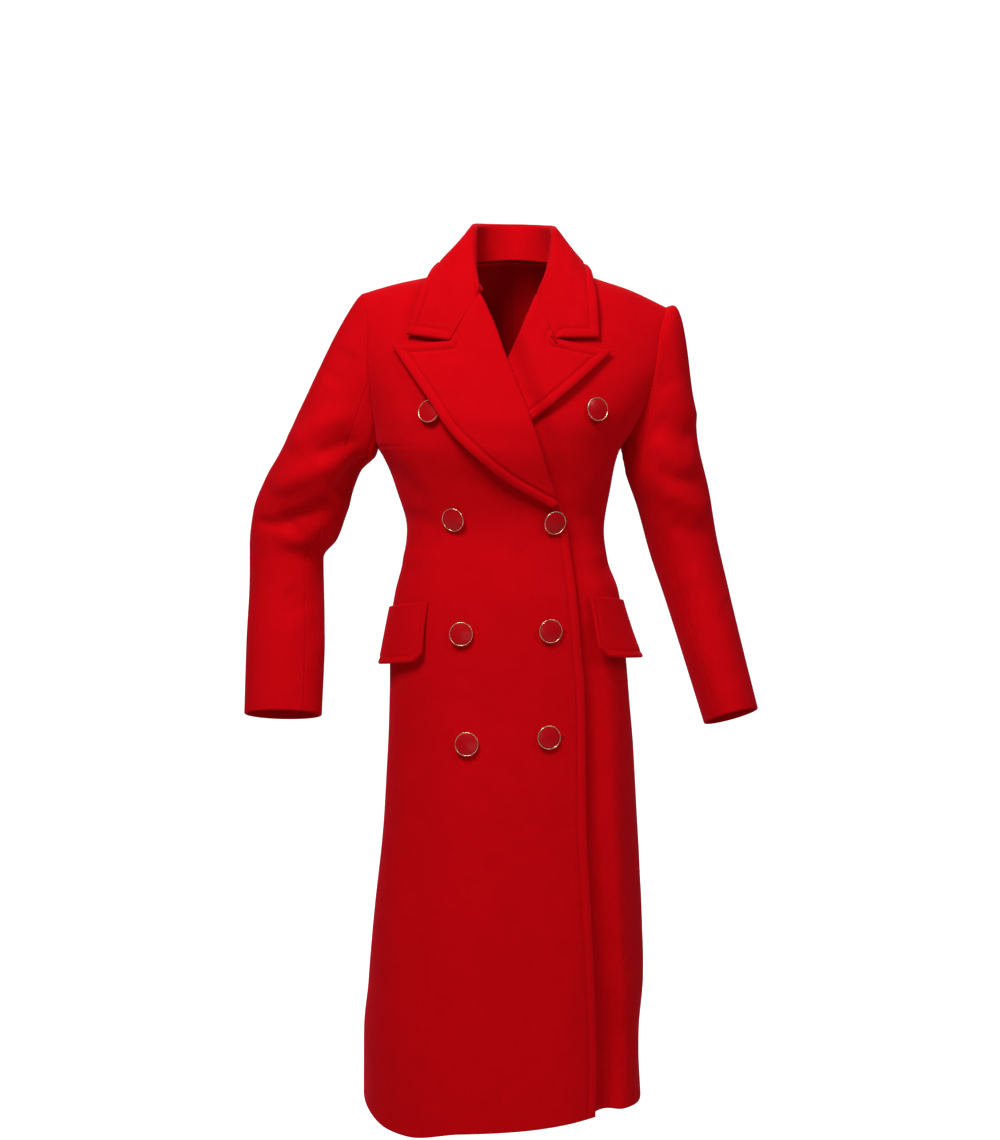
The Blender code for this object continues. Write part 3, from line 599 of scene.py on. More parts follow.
# %% [markdown]
# A sleeve is a tube lofted through rings: the armhole itself, the roped head just outside it, and rings
# square to the arm, each with its middle x, y and z, its half width and its half depth. It is cut as a top
# and an under sleeve, so it has a seam in front and one behind. The arm is bent a little, and the felt breaks
# into ridges and troughs across the elbow, deep on the inner side of the bend.

# %% Sleeves
SLEEVE = {
    -1: np.array([(-251, 10, -256, 54, 66), (-272, 20, -300, 58, 62), (-286, 27, -335, 58, 58),
                  (-298, 29, -372, 49, 56), (-297, 22, -410, 49, 54), (-296, -8, -490, 51, 48),
                  (-297, -34, -578, 50, 44)]),
    +1: np.array([(194, 8, -250, 50, 66), (209, 16, -300, 48, 63), (224, 24, -363, 45, 62),
                  (240, 18, -420, 42, 61), (258, -4, -490, 39, 60), (282, -28, -581, 36, 58)]),
}
HEAD_OUT = {-1: 7.0, +1: 9.0}
HEAD_UP = {-1: -7.0, +1: 3.0}
HEAD_OUT_LOW = 0.15
HEAD_DOWN = 0.8
SLEEVE_ROWS = 110
ARM_BLEND = 55
ARMHOLE_AIM = 5.0
FRONT_SEAM = 18
BACK_SEAM = 24
SLEEVE_PITCH = 4.2
SLEEVE_CREASES = {
    -1: {"front": [(-197, -189, -241, -204, -294, -237, -6, 15), (-194, -222, -225, -233, -258, -247, 4, 9),
                   (-216, -251, -267, -269, -315, -293, -6, 13), (-181, -243, -208, -275, -230, -304, 11, 13),
                   (-225, -298, -264, -320, -315, -329, 6, 9), (-338, -327, -306, -334, -271, -334, 5, 7),
                   (-310, -350, -275, -354, -226, -322, -5, 12), (-295, -417, -282, -430, -275, -450, 3, 15),
                   (-206, -107, -219, -134, -237, -155, 3, 17), (-246, -378, -254, -430, -252, -495, 2, 13)],
         "back": [(-200, -150, -244, -170, -290, -214, -4, 18), (-216, -214, -262, -232, -312, -270, 4, 15),
                  (-326, -300, -296, -296, -256, -312, -5, 14), (-330, -336, -300, -330, -260, -344, 4, 12),
                  (-324, -400, -300, -430, -280, -500, 2, 16)]},
    +1: {"front": [(196, -150, 214, -176, 240, -206, -4, 16), (176, -196, 202, -214, 236, -226, 4, 14),
                   (170, -222, 196, -244, 240, -262, -3, 14), (176, -258, 208, -276, 250, -276, 4, 11),
                   (186, -288, 214, -300, 256, -318, -4, 13), (198, -326, 226, -342, 262, -344, 3, 13),
                   (214, -392, 240, -412, 276, -440, -2, 16), (236, -450, 258, -486, 290, -540, 2, 15)],
         "back": [(196, -160, 216, -186, 244, -220, -4, 17), (176, -226, 206, -240, 246, -262, 4, 13),
                  (184, -290, 214, -300, 256, -306, -4, 13), (196, -330, 226, -334, 260, -350, 3, 13)]},
}


def armhole_ring(side):
    """From the armpit up the front, over the shoulder and down the back."""
    front = panel_grid(side, True, 2)[ROWS_BELOW:, -1]
    back = panel_grid(side, False, 2)[ROWS_BELOW:, -1]
    return np.concatenate([front, back[-2:0:-1]])


def sleeve_ring(row, along, side, turn):
    """An ellipse square to the arm: minus cosine times the half width, plus sine times the half depth."""
    outward = unit(np.cross(along, (0.0, 1.0, 0.0)))
    outward *= np.sign(outward[0] * side)
    forward = unit(np.cross(outward, along))
    forward *= -np.sign(forward[1])
    x, y, z, half_width, half_depth = row
    return np.array([x, y, z]) - half_width * np.cos(turn)[:, None] * outward + (
        half_depth * np.sin(turn)[:, None] * forward)


def sleeve_grid(side, rows_down):
    """Rings read through the armhole, the head and the table's rows, by the length walked down their centres."""
    armhole = armhole_ring(side)
    turn = np.arange(len(armhole)) / len(armhole) * 2 * math.pi
    raised = ((1 - np.cos(turn)) / 2)[:, None]
    out = np.array([side * 1.0, 0.0, 0.0]) * (HEAD_OUT_LOW + (1 - HEAD_OUT_LOW) * raised) * HEAD_OUT[side]
    down = np.array([0.0, 0.0, -1.0]) * (1 - raised) * HEAD_OUT[side]
    head = armhole + out + down * HEAD_DOWN - armhole_inward(armhole) * HEAD_UP[side] * raised ** 2
    rows = SLEEVE[side].astype(float)
    along = unit(np.gradient(rows[:, :3], axis=0))
    rings = np.array([armhole, head] + [sleeve_ring(row, way, side, turn) for row, way in zip(rows, along)])
    centres = rings.mean(axis=1)
    run = np.concatenate([[0], np.cumsum(np.linalg.norm(np.diff(centres, axis=0), axis=1))])
    table = np.concatenate([run[:, None], rings.reshape(len(rings), -1)], axis=1)
    return read(table, np.linspace(0, run[-1], rows_down)).reshape(rows_down, len(armhole), 3)


def sleeve_relief(side):
    """Front and back tables of creases, shared out by which side of the arm's middle a point lies on."""
    middle = SLEEVE[side][::-1, [2, 1]].astype(float)

    def relief(grid, away):
        in_front = eased(0.5 - (grid[..., 1] - read(middle, grid[..., 2])) / ARM_BLEND)
        table = SLEEVE_CREASES[side]
        return creases(grid, table["front"]) * in_front + creases(grid, table["back"]) * (1 - in_front), 0.0
    return relief


for side, word in SIDES.items():
    whole = sleeve_grid(side, SLEEVE_ROWS)
    count = whole.shape[1]
    picked = {
        "top": np.arange(FRONT_SEAM, count - BACK_SEAM + 1),
        "under": np.arange(-BACK_SEAM, FRONT_SEAM + 1),
    }
    for part, columns in picked.items():
        outward = (side, 0, 0) if part == "top" else (-side, 0, 0)
        piece = cloth(
            f"cloth_sleeve_{word}_{part}", whole[:, columns], WALL, SLEEVE_PITCH,
            ("seam", "free", "seam", "seam"), outward, WOOL, sleeve_relief(side), [(0, armhole_inward, ARMHOLE_AIM)],
        )
        PIECES.append((piece, [f"sleeve_{word}_{part}"]))

# %% [markdown]
# A lapel is the top of the front turned back along its roll line. Seen from the front it is a patch between the
# roll line, the gorge seam, the notch and the outer edge, and it stands a little off the chest. Its first
# columns wrap round the edge of the front, so the fold is one soft thick roll and not two cut edges.

# %% Lapels
FOLDED_WALL = 4.0
CLEAR = 1.4
GORGE = {-1: ((-43, -37), (-80, -100)), +1: ((27, -42), (52, -97))}
COLLAR_TIP = {-1: (-135, -92), +1: (108, -96)}
LAPEL_EDGE = {
    -1: np.array([(-154, -105), (-133, -136), (-104, -178), (-81, -213), (-48, -246), (-14, -274), (17, -293),
                  (47, -309)]),
    +1: np.array([(124, -113), (82, -152), (51, -178), (20, -202)]),
}
LAPEL_END = {-1: -305.0, +1: -135.0}
CORNER_ACROSS = 0.5
GORGE_GAP = 0.6
LAPEL_SEAT = {-1: 0.0, +1: 1.2}
LAPEL_LIFT = {-1: 9.0, +1: 4.0}
ROLL_RADIUS = 4.0
LAPEL_PITCH = 1.8
LAPEL_ROWS = {-1: 150, +1: 80}
LAPEL_COLUMNS = 60
WRAP_ANGLES = np.radians([250.0, 215.0, 180.0, 150.0, 120.0, 90.0, 60.0, 30.0])
LAPEL_FORM = {-1: [(-96, -150, -60, -196, -6, -262, -0.8, 20), (-52, -96, -36, -140, 6, -214, 0.8, 16)],
              +1: [(84, -132, 60, -150, 30, -184, -0.6, 14)]}


def line_through(points, shares, t):
    points = np.asarray(points, float)
    return np.stack([np.interp(t, shares, points[:, i]) for i in range(points.shape[1])], axis=-1)


def lapel_off(side, way, across):
    """How far off the front: the seat, plus a lift times the sine of the way across, less at both ends."""
    lift = LAPEL_LIFT[side] * blend(0.45, 1.0, eased(way * 3)) * (1 - eased(way * 4 - 3) * 0.7)
    return FOLDED_WALL + CLEAR + LAPEL_SEAT[side] + lift * np.sin(across * math.pi / 2) ** 0.8


def edge_path(side):
    """The lapel's outer edge as a fine run of places."""
    edge = LAPEL_EDGE[side]
    z = np.linspace(edge[0, 1], edge[-1, 1], 60)
    return np.stack([read(edge[::-1, ::-1], z), z], axis=-1)


def lapel_grid(side, rows, columns):
    """Blends roll line to corner line to outer edge, then wraps the roll line's side back in half a circle."""
    across = np.linspace(0, 1, columns)[None, :, None]
    way = np.linspace(0, 1, rows)
    roll_z = blend(GORGE[side][0][1], LAPEL_END[side], way)
    roll = np.stack([read(ROLL_LINE[side], roll_z), roll_z], axis=-1)
    roll = roll + (np.array(GORGE[side][0]) - roll[0]) * (1 - eased(way * 12))[:, None]
    outer_z = blend(LAPEL_EDGE[side][0, 1], LAPEL_EDGE[side][-1, 1], way)
    end = np.stack([read(LAPEL_EDGE[side][::-1, ::-1], outer_z), outer_z], axis=-1)
    tangent = unit(np.gradient(roll, axis=0))
    away = np.stack([-tangent[:, 1], tangent[:, 0]], axis=-1)
    away *= np.sign((away * (roll - end)).sum(axis=-1, keepdims=True))
    start = roll - away * ROLL_RADIUS
    corner = blend(start, end, CORNER_ACROSS)
    corner = corner + (np.array(GORGE[side][1]) - corner[0]) * (1 - eased(way * 3))[:, None]
    near = blend(start[:, None], corner[:, None], across / CORNER_ACROSS)
    far = blend(corner[:, None], end[:, None], (across - CORNER_ACROSS) / (1 - CORNER_ACROSS))
    places = np.where(across < CORNER_ACROSS, near, far)
    places[0] += np.array([-side, -1]) * GORGE_GAP
    face = on_front(side, places, lapel_off(side, way[:, None], across[..., 0]))
    angle = WRAP_ANGLES[None, :]
    out = ROLL_RADIUS * np.sin(angle)[..., None] * away[:, None, :]
    wrap_xz = start[:, None, :] + out
    back = ROLL_RADIUS * (1 - np.cos(angle))
    wrap = np.stack([wrap_xz[..., 0], face[:, :1, 1] + back, wrap_xz[..., 1]], axis=-1)
    return np.concatenate([wrap, face], axis=1)


def lapel_borders(side):
    """Distances to the notch and to the outer edge, as places seen from the front."""
    notch = np.array([GORGE[side][1], LAPEL_EDGE[side][0]], float)

    def fields(grid):
        places = grid[..., [0, 2]]
        return near_path(places, notch)[0], near_path(places, edge_path(side))[0]
    return fields


def lapel_relief(side):
    def relief(grid, away):
        notch, outer = lapel_borders(side)(grid)
        return creases(grid, LAPEL_FORM[side]), stitched_border(np.minimum(notch, outer))
    return relief


for side, word in SIDES.items():
    piece = cloth(
        f"cloth_lapel_{word}", lapel_grid(side, LAPEL_ROWS[side], LAPEL_COLUMNS), FOLDED_WALL, LAPEL_PITCH,
        ("free", "free", "free", "stitched"), (0, -1, 0), WOOL, lapel_relief(side),
    )
    PIECES.append((piece, [f"lapel_{word}"]))

# %% [markdown]
# The collar is one long piece that stands up from the neck seam, rolls over and falls outside. Its shape is
# given by a few sections from the right gorge, round the back of the neck, to the left gorge. Its two ends
# follow the gorge seam and the notch exactly, as a tailor's pattern would, so collar and lapel make one line.

# %% Collar
FALL_START = 4
FALL_ACROSS = (0.08, 0.27, 0.5, 0.75, 1.0)
NECK_MIDDLE = (0.0, 25.0, 0.0)
BEHIND_NECK = 20.0
ROLL = 6.0
COLLAR_PITCH = 2.1
COLLAR_ROWS = 220
CORNER_SHARE = 0.68
COLLAR = {
    -1: (((-40, -36), (-44, -68, -33)), ((-54, -14), (-50, -38, 6), (-88, -62, -36), (-121, -62, -46)),
         ((-68, 0), (-52, 4, 53), (-73, -4, 27), (-100, 0, -2)),
         ((-45, 7), (-38, 50, 60), (-62, 70, 28), (-82, 84, -4))),
    +1: (((32, -40), (30, -68, -38)), ((52, -14), (46, -38, 2), (74, -60, -38), (106, -62, -50)),
         ((68, 0), (54, 4, 50), (76, -4, 22), (99, 0, -5)),
         ((45, 7), (38, 50, 58), (62, 70, 26), (82, 84, -6))),
}
COLLAR_BACK = ((0, 12), (0, 74, 62), (0, 92, 30), (0, 104, -10))
SECTION_T = np.linspace(0, 8, 65)


def collar_curve(station):
    """Nine points: up the stand from the neck edge, over the roll and down to the outer edge."""
    (neck_x, neck_z), roll, middle, outer = station
    neck_y = float(body_y(np.array(float(neck_x)), np.array(float(neck_z)), roll[1] <= BEHIND_NECK))
    neck = np.array([neck_x, neck_y, neck_z + 1.0])
    roll, middle, outer = (np.asarray(point, float) for point in (roll, middle, outer))
    inward = np.array(NECK_MIDDLE) - neck
    inward[2] = 0.0
    inward = unit(inward)
    stand = neck + inward * (FOLDED_WALL + CLEAR)
    lower = roll - (0, 0, ROLL)
    return np.array([
        stand, blend(stand, lower + inward * ROLL, 0.5), lower + inward * ROLL, roll, lower - inward * ROLL,
        blend(lower - inward * ROLL, middle, 0.5), middle, blend(middle, outer, 0.5), outer,
    ])


def smooth_section(points):
    """The smooth table curve through a section's points, at the fine steps of SECTION_T."""
    at = np.arange(len(points), dtype=float)[:, None]
    return read(np.concatenate([at, points], axis=1), np.clip(SECTION_T, 0, len(points) - 1))


def collar_end(side, station):
    """The stand as a smooth curve, and the fall straight along the gorge seam and then the notch."""
    path = (*GORGE[side], COLLAR_TIP[side])
    across = np.interp(SECTION_T, np.arange(FALL_START, 9), FALL_ACROSS)
    fall = on_front(side, line_through(path, (0, CORNER_ACROSS, 1), across), lapel_off(side, 0.0, across))
    points = collar_curve((station[0], station[1], fall[48], fall[64]))
    stand = smooth_section(np.concatenate([points[:FALL_START], fall[32:33]]))
    return np.where((SECTION_T < FALL_START)[:, None], stand, fall)


def collar_grid(rows):
    right, left = COLLAR[-1], COLLAR[+1]
    sections = [collar_end(-1, right[0])] + [smooth_section(collar_curve(station)) for station in right[1:]]
    sections += [smooth_section(collar_curve(COLLAR_BACK))]
    sections += [smooth_section(collar_curve(station)) for station in left[:0:-1]] + [collar_end(+1, left[0])]
    table = np.array([[i, *section.ravel()] for i, section in enumerate(sections)])
    return read(table, np.linspace(0, len(sections) - 1, rows)).reshape(rows, len(SECTION_T), 3)


def collar_fields(grid):
    """Distances in space to the notches and to the outer edge."""
    run = run_along(grid)[[0, -1]]
    corner = np.argmin(np.abs(run - CORNER_SHARE * run[:, -1:]), axis=1)
    ends = [near_path(grid, grid[row, corner[row]:][::4])[0] for row in (0, -1)]
    return np.minimum(*ends), near_path(grid, grid[::3, -1])[0]


def collar_relief(grid, away):
    notch, outer = collar_fields(grid)
    return 0.0, stitched_border(np.minimum(notch, outer))


piece = cloth(
    "cloth_collar", collar_grid(COLLAR_ROWS), FOLDED_WALL, COLLAR_PITCH,
    ("free", "free", "seam", "stitched"), (0, 1, 0), WOOL, collar_relief,
)
PIECES.append((piece, ["collar"]))

# %% [markdown]
# A pocket flap is a double piece sewn in along its top. It follows the hip and springs away from it toward its
# lower edge, more behind than in front, so its back corner stands out beside the coat.

# %% Pocket flaps
FLAP = {-1: (-38, -104, -426, -444), +1: (41, 102, -419, -434)}
FLAP_FACING = (1.0, 1.6, 0.0)
FLAP_DROP = 75.0
FLAP_SEAT = 0.5
FLAP_LIFT = {-1: 12.0, +1: 20.0}
FLAP_CORNER = 0.14
FLAP_CORNER_WIDTH = 0.12
FLAP_PITCH = 2.4
FLAP_POINTS = (40, 70)
FLAP_WAVE = 1.2
FLAP_WAVE_RUN = 19.0
FLAP_BORDER_IN = 3.5
FLAP_BORDER = 0.45
FLAP_FRONT_LIFT = 0.55
FLAP_DROP_EASE = 70


def flap_grid(side):
    """Turns round the body along the top, and drops with a lift that grows as the power 1.5 of the way down."""
    front_turn, back_turn, front_height, back_height = FLAP[side]
    along = np.linspace(0, 1, FLAP_POINTS[1])[None, :]
    down = np.linspace(0, 1, FLAP_POINTS[0])[:, None]
    corner = FLAP_CORNER * np.clip(1 - along / FLAP_CORNER_WIDTH, 0, 1) ** 2
    turn = np.radians(blend(front_turn, back_turn, along)) + 0 * down
    base = body_point(turn, blend(front_height, back_height, along) - FLAP_DROP * down * (1 - corner))
    lift = FLAP_LIFT[side] * down ** 1.5 * blend(FLAP_FRONT_LIFT, 1.0, along)
    return base + unit(base * FLAP_FACING) * (FOLDED_WALL + FLAP_SEAT + lift)[..., None]


def flap_relief(grid, away):
    border = np.minimum(np.minimum(away[1], away[2]), away[3])
    wave = FLAP_WAVE * np.sin(away[2] / FLAP_WAVE_RUN) * eased(away[0] / FLAP_DROP_EASE)
    return wave, FLAP_BORDER * stitched_border(border + FLAP_BORDER_IN)


for side, word in SIDES.items():
    piece = cloth(f"cloth_pocket_flap_{word}", flap_grid(side), FOLDED_WALL, FLAP_PITCH,
                  ("free", "stitched", "stitched", "free"), (side * 0.9, -0.4, 0), WOOL, flap_relief)
    PIECES.append((piece, [f"pocket_flap_{word}"]))

# %% [markdown]
# A sewn button is a shallow dome of glossy enamel set in a thin metal ring, on a short shank. Both are profiles
# turned round an axis: one array of angles times one array of profile points. Sewn buttons never sit quite true,
# so each has its own small tilt, which also makes the ring catch the light on one side.

# %% Buttons
BUTTONS = {
    -1: ((-103, -190), (-74, -323), (-65, -466), (-58, -603)),
    +1: ((102, -187), (50, -327), (45, -462), (43, -594)),
}
BUTTON_TILT = {-1: ((4, -9), (-3, -7), (2, 5), (5, 3)), +1: ((2, 8), (-4, 9), (-3, 4), (-2, 6))}
BUTTON_RADIUS = 15.0
RIM_WIDTH = 1.4
RIM_HEIGHT = 3.2
DOME = 1.5
SHANK_RADIUS = 3.4
SHANK_HEIGHT = 2.2
BUTTON_STEPS = 72


def turned_faces(count, steps, closed):
    """Quads of a profile of count points, turned in steps."""
    number = np.arange(count * steps).reshape(steps, count)
    after = np.roll(number, -1, axis=0)
    stop = count if closed else count - 1
    up = np.arange(stop)
    next_up = (up + 1) % count
    return np.stack([number[:, up], after[:, up], after[:, next_up], number[:, next_up]], axis=-1).reshape(-1, 4)


def turned_points(profile, steps):
    """Each profile point (radius, height) at every angle: radius cos, radius sin, height."""
    angle = np.arange(steps) / steps * 2 * math.pi
    radius, height = profile[:, 0], profile[:, 1]
    ring = np.stack([np.cos(angle)[:, None] * radius, np.sin(angle)[:, None] * radius], axis=-1)
    return np.concatenate([ring, np.broadcast_to(height[None, :, None], (steps, len(height), 1))], axis=-1)


def dome_profile():
    """Foot, shank, flat underside, a rolled shoulder, and a dome whose height falls as the square of radius."""
    seat = BUTTON_RADIUS - RIM_WIDTH - 0.15
    high = SHANK_HEIGHT + RIM_HEIGHT - 0.7
    radius = seat * np.sin(np.linspace(math.pi / 2, 0, 12))
    radius[-1] = 0.0
    crown = np.stack([radius, high + DOME * (1 - (radius / seat) ** 2)], axis=-1)
    foot = [(0.0, 0.0), (SHANK_RADIUS, 0.0), (SHANK_RADIUS * 0.8, SHANK_HEIGHT / 2), (SHANK_RADIUS, SHANK_HEIGHT),
            (seat, SHANK_HEIGHT)]
    return np.concatenate([np.array(foot), crown])


def ring_profile():
    """A flattened circle: the rim's section, fuller on its outer side."""
    t = np.arange(18) / 18 * 2 * math.pi
    middle = BUTTON_RADIUS - RIM_WIDTH / 2
    return np.stack([middle + RIM_WIDTH / 2 * bent(np.cos(t), 0.8),
                     SHANK_HEIGHT + RIM_HEIGHT / 2 + RIM_HEIGHT / 2 * bent(np.sin(t), 0.8)], axis=-1)


def button_frame(side, x, z):
    """The place and facing of the cloth under a button, from the mean and the span of a ring of points."""
    panel = 1 if side > 0 and x > read(FRONT_EDGE[-1], z) else -1
    angle = np.linspace(0, 2 * math.pi, 13)[:-1]
    places = np.stack([x + 4 * np.cos(angle), z + 4 * np.sin(angle)], axis=-1)
    points = on_front(panel, places, 0.0)
    facing = unit(np.cross(points[0] - points[6], points[3] - points[9]))
    middle = points.mean(axis=0)
    return middle + (((points - middle) @ facing).max() + 0.3) * facing, facing


def button_turn(facing, tilt):
    """Three axes with the last one along the facing, tilted by small angles about the first two."""
    side_way = unit(np.cross((0.0, 0.0, 1.0), facing))
    up_way = np.cross(facing, side_way)
    leaning = unit(facing + side_way * math.tan(math.radians(tilt[1])) + up_way * math.tan(math.radians(tilt[0])))
    side_way = unit(np.cross(up_way, leaning))
    return np.array([side_way, np.cross(leaning, side_way), leaning])


def close_poles(obj):
    """Merges the points of each ring that has no radius, so a turned form ends in one point."""
    form = bmesh.new()
    form.from_mesh(obj.data)
    bmesh.ops.remove_doubles(form, verts=form.verts, dist=1e-7)
    bmesh.ops.recalc_face_normals(form, faces=form.faces)
    form.to_mesh(obj.data)
    form.free()
    obj.data.set_sharp_from_angle(angle=math.radians(42))


BUTTON_PIECES = []
for side, word in SIDES.items():
    for row, ((x, z), tilt) in enumerate(zip(BUTTONS[side], BUTTON_TILT[side]), start=1):
        place, facing = button_frame(side, float(x), float(z))
        axes = button_turn(facing, tilt)
        for part, profile, closed, finish in (
            ("face", dome_profile(), False, ENAMEL), ("rim", ring_profile(), True, GOLD),
        ):
            points = turned_points(profile, BUTTON_STEPS).reshape(-1, 3) @ axes + place
            name = f"button_{word}_{row}_{part}"
            obj = add_mesh(f"fine_{name}", points, turned_faces(len(profile), BUTTON_STEPS, closed), finish)
            close_poles(obj)
            BUTTON_PIECES.append((obj, name))
print("buttons:", len(BUTTON_PIECES), "pieces")

# %% [markdown]
# The stitches are real ones: short thick threads that lie in the groove along every faced edge. The line that
# they follow is where the distance to the edge passes the stitch distance, found on the finished surface. All
# stitches of one edge are one mesh, because a thousand small objects would only be slow.

# %% Stitches
STITCH_PITCH = 4.2
STITCH_LENGTH = 3.3
STITCH_RADIUS = 0.32
STITCH_STATIONS = np.array([-0.5, -0.42, -0.25, 0.25, 0.42, 0.5])
STITCH_SIDES = 6


def level_line(field, outer, inward, level):
    """Where each row of a field last falls to a level on its way to the last column, with the normal there."""
    k = np.clip((field > level).sum(axis=1) - 1, 0, field.shape[1] - 2)
    row = np.arange(len(field))
    here, after = field[row, k], field[row, k + 1]
    good = (here > level) & (after <= level)
    t = ((here - level) / np.where(good, here - after, 1.0))[:, None]
    place = blend(outer[row, k], outer[row, k + 1], t)
    normal = -unit(blend(inward[row, k], inward[row, k + 1], t))
    return place, normal, good


def stitches(name, places, normals):
    """Little rounded rods, a pitch apart along a line: each a run of rings, flat against the cloth."""
    run = np.concatenate([[0], np.cumsum(np.linalg.norm(np.diff(places, axis=0), axis=1))])
    middle = np.arange(STITCH_PITCH / 2, run[-1], STITCH_PITCH)
    both = np.concatenate([places, normals], axis=1)
    at = np.stack([np.interp(middle, run, both[:, i]) for i in range(6)], axis=-1)
    after = np.stack([np.interp(middle + 1.0, run, both[:, i]) for i in range(3)], axis=-1)
    before = np.stack([np.interp(middle - 1.0, run, both[:, i]) for i in range(3)], axis=-1)
    way = unit(after - before)
    up = unit(at[:, 3:])
    across = unit(np.cross(up, way))
    angle = np.arange(STITCH_SIDES) / STITCH_SIDES * 2 * math.pi
    thick = np.sqrt(np.clip(1.02 - (2 * np.abs(STITCH_STATIONS)) ** 6, 0, 1)) * STITCH_RADIUS
    ring_across = (thick[:, None] * np.cos(angle))[None, ..., None] * across[:, None, None, :]
    ring_up = (thick[:, None] * np.sin(angle))[None, ..., None] * up[:, None, None, :]
    along = (STITCH_STATIONS * STITCH_LENGTH)[None, :, None, None] * way[:, None, None, :]
    points = at[:, None, None, :3] + ring_across + ring_up + along
    stations = len(STITCH_STATIONS)
    number = np.arange(len(middle) * stations * STITCH_SIDES).reshape(len(middle), stations, STITCH_SIDES)
    beside = np.roll(number, -1, axis=2)
    walls = np.stack([number[:, :-1], beside[:, :-1], beside[:, 1:], number[:, 1:]], axis=-1).reshape(-1, 4)
    first, last = number[:, 0], number[:, -1]
    caps = [ends[:, picked] for ends, order in ((first, 1), (last, -1))
            for picked in ([0, 5, 4, 1][::order], [1, 4, 3, 2][::order])]
    obj = add_mesh(name, points.reshape(-1, 3), np.concatenate([walls, *caps]), THREAD)
    print(name, len(middle), "stitches")
    return obj


SEWN = []
for side, word in SIDES.items():
    shape = f"cloth_lapel_{word}"
    outer, inward, _ = SHAPES[shape]
    notch, border = lapel_borders(side)(outer)
    place, normal, good = level_line(border, outer, inward, STITCH_IN)
    good &= near_path(place[:, [0, 2]], np.array([GORGE[side][1], LAPEL_EDGE[side][0]], float))[0] > STITCH_IN
    SEWN.append(stitches(f"stitches_lapel_{word}_edge", place[good], normal[good]))
    flipped = [turned(value[::-1]) for value in (notch, outer, inward)]
    place, normal, good = level_line(*flipped, STITCH_IN)
    good &= near_path(place[:, [0, 2]], edge_path(side))[0] > STITCH_IN
    SEWN.append(stitches(f"stitches_lapel_{word}_notch", place[good], normal[good]))
outer, inward, _ = SHAPES["cloth_collar"]
notch, border = collar_fields(outer)
place, normal, good = level_line(border, outer, inward, STITCH_IN)
ends = near_path(place, outer[0, len(outer[0]) // 2:])[0], near_path(place, outer[-1, len(outer[0]) // 2:])[0]
good &= np.minimum(*ends) > STITCH_IN
SEWN.append(stitches("stitches_collar_edge", place[good], normal[good]))
outer, inward, away = SHAPES["cloth_front_right"]
place, normal, good = level_line(away[2][:, ::-1], outer[:, ::-1], inward[:, ::-1], STITCH_IN)
good &= place[:, 2] < ROLL_LINE[-1][0, 0] - 10
SEWN.append(stitches("stitches_front_edge", place[good], normal[good]))

# %% [markdown]
# A buttonhole is a slit whose lips are worked over with thread. Only its outer end shows, beside the button
# that it holds, in the two lowest rows. It is a tube of thread carried round a long narrow loop.

# %% Buttonholes
HOLE_START = -8.0
HOLE_END = 20.5
HOLE_HALF_WIDTH = 1.3
HOLE_THREAD = 0.8
HOLE_OFF = 0.25
HOLE_STEPS = 64
HOLE_SIDES = 8
HOLE_ROWS = (3, 4)


def buttonhole(name, x, z):
    """A tube round a loop: two straight lips joined by half circles, laid on the right front."""
    turn = np.arange(HOLE_STEPS) / HOLE_STEPS * 2 * math.pi
    reach = (HOLE_END - HOLE_START) / 2
    loop_x = x + (HOLE_START + HOLE_END) / 2 + reach * bent(np.cos(turn), 0.35)
    loop_z = z + HOLE_HALF_WIDTH * bent(np.sin(turn), 0.6)
    centre = on_front(-1, np.stack([loop_x, loop_z], axis=-1), HOLE_OFF)
    way = unit(np.roll(centre, -1, axis=0) - np.roll(centre, 1, axis=0))
    up = np.array([0.0, -1.0, 0.0])
    across = unit(np.cross(up, way))
    angle = np.arange(HOLE_SIDES) / HOLE_SIDES * 2 * math.pi
    ring = np.cos(angle)[None, :, None] * across[:, None] + np.sin(angle)[None, :, None] * up
    points = centre[:, None] + HOLE_THREAD * ring
    return add_mesh(name, points.reshape(-1, 3), turned_faces(HOLE_SIDES, HOLE_STEPS, True), THREAD)


for row in HOLE_ROWS:
    SEWN.append(buttonhole(f"buttonhole_{row}", *BUTTONS[+1][row - 1]))

# %% [markdown]
# Each piece now rides on the coat's one body and takes the place of its plain solid.


for piece, nodes in PIECES:
    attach(piece, "root")
    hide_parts(*nodes)
for piece, node in BUTTON_PIECES:
    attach(piece, "root")
    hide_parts(node)
for piece in SEWN:
    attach(piece, "root")

# %% [markdown]
# The studio is a pale sweep, a floor that curves up into a wall, so no horizon shows behind the coat. A soft
# light stands high in front on the left, a weaker one on the right, a faint one low and one high behind. The
# paper and the air are brighter to the camera than to the cloth, so the ground is white and the folds keep
# their shadows.

# %% Studio
FLOOR_Z = -1.45
SWEEP_BACK = 4.5
SWEEP_RADIUS = 0.9
PAPER_GLOW_SEEN = 0.95
PAPER_GLOW_ON_COAT = 0.03
AIR_SEEN = 1.0
AIR_ON_COAT = 0.09
SWEEP_REACH = 7.0
SWEEP_TOP = 4.5


def sweep_points():
    """The floor, a quarter circle and the wall, drawn out sideways."""
    angle = np.linspace(0, math.pi / 2, 24)
    bend = np.stack([SWEEP_BACK - SWEEP_RADIUS + SWEEP_RADIUS * np.sin(angle),
                     FLOOR_Z + SWEEP_RADIUS * (1 - np.cos(angle))], axis=-1)
    line = np.concatenate([[(-SWEEP_REACH, FLOOR_Z)], bend, [(SWEEP_BACK, SWEEP_TOP)]])
    side = np.array([-SWEEP_REACH, SWEEP_REACH])[:, None]
    return np.stack([side + 0 * line[:, 0], line[:, 0] + 0 * side, line[:, 1] + 0 * side], axis=-1)


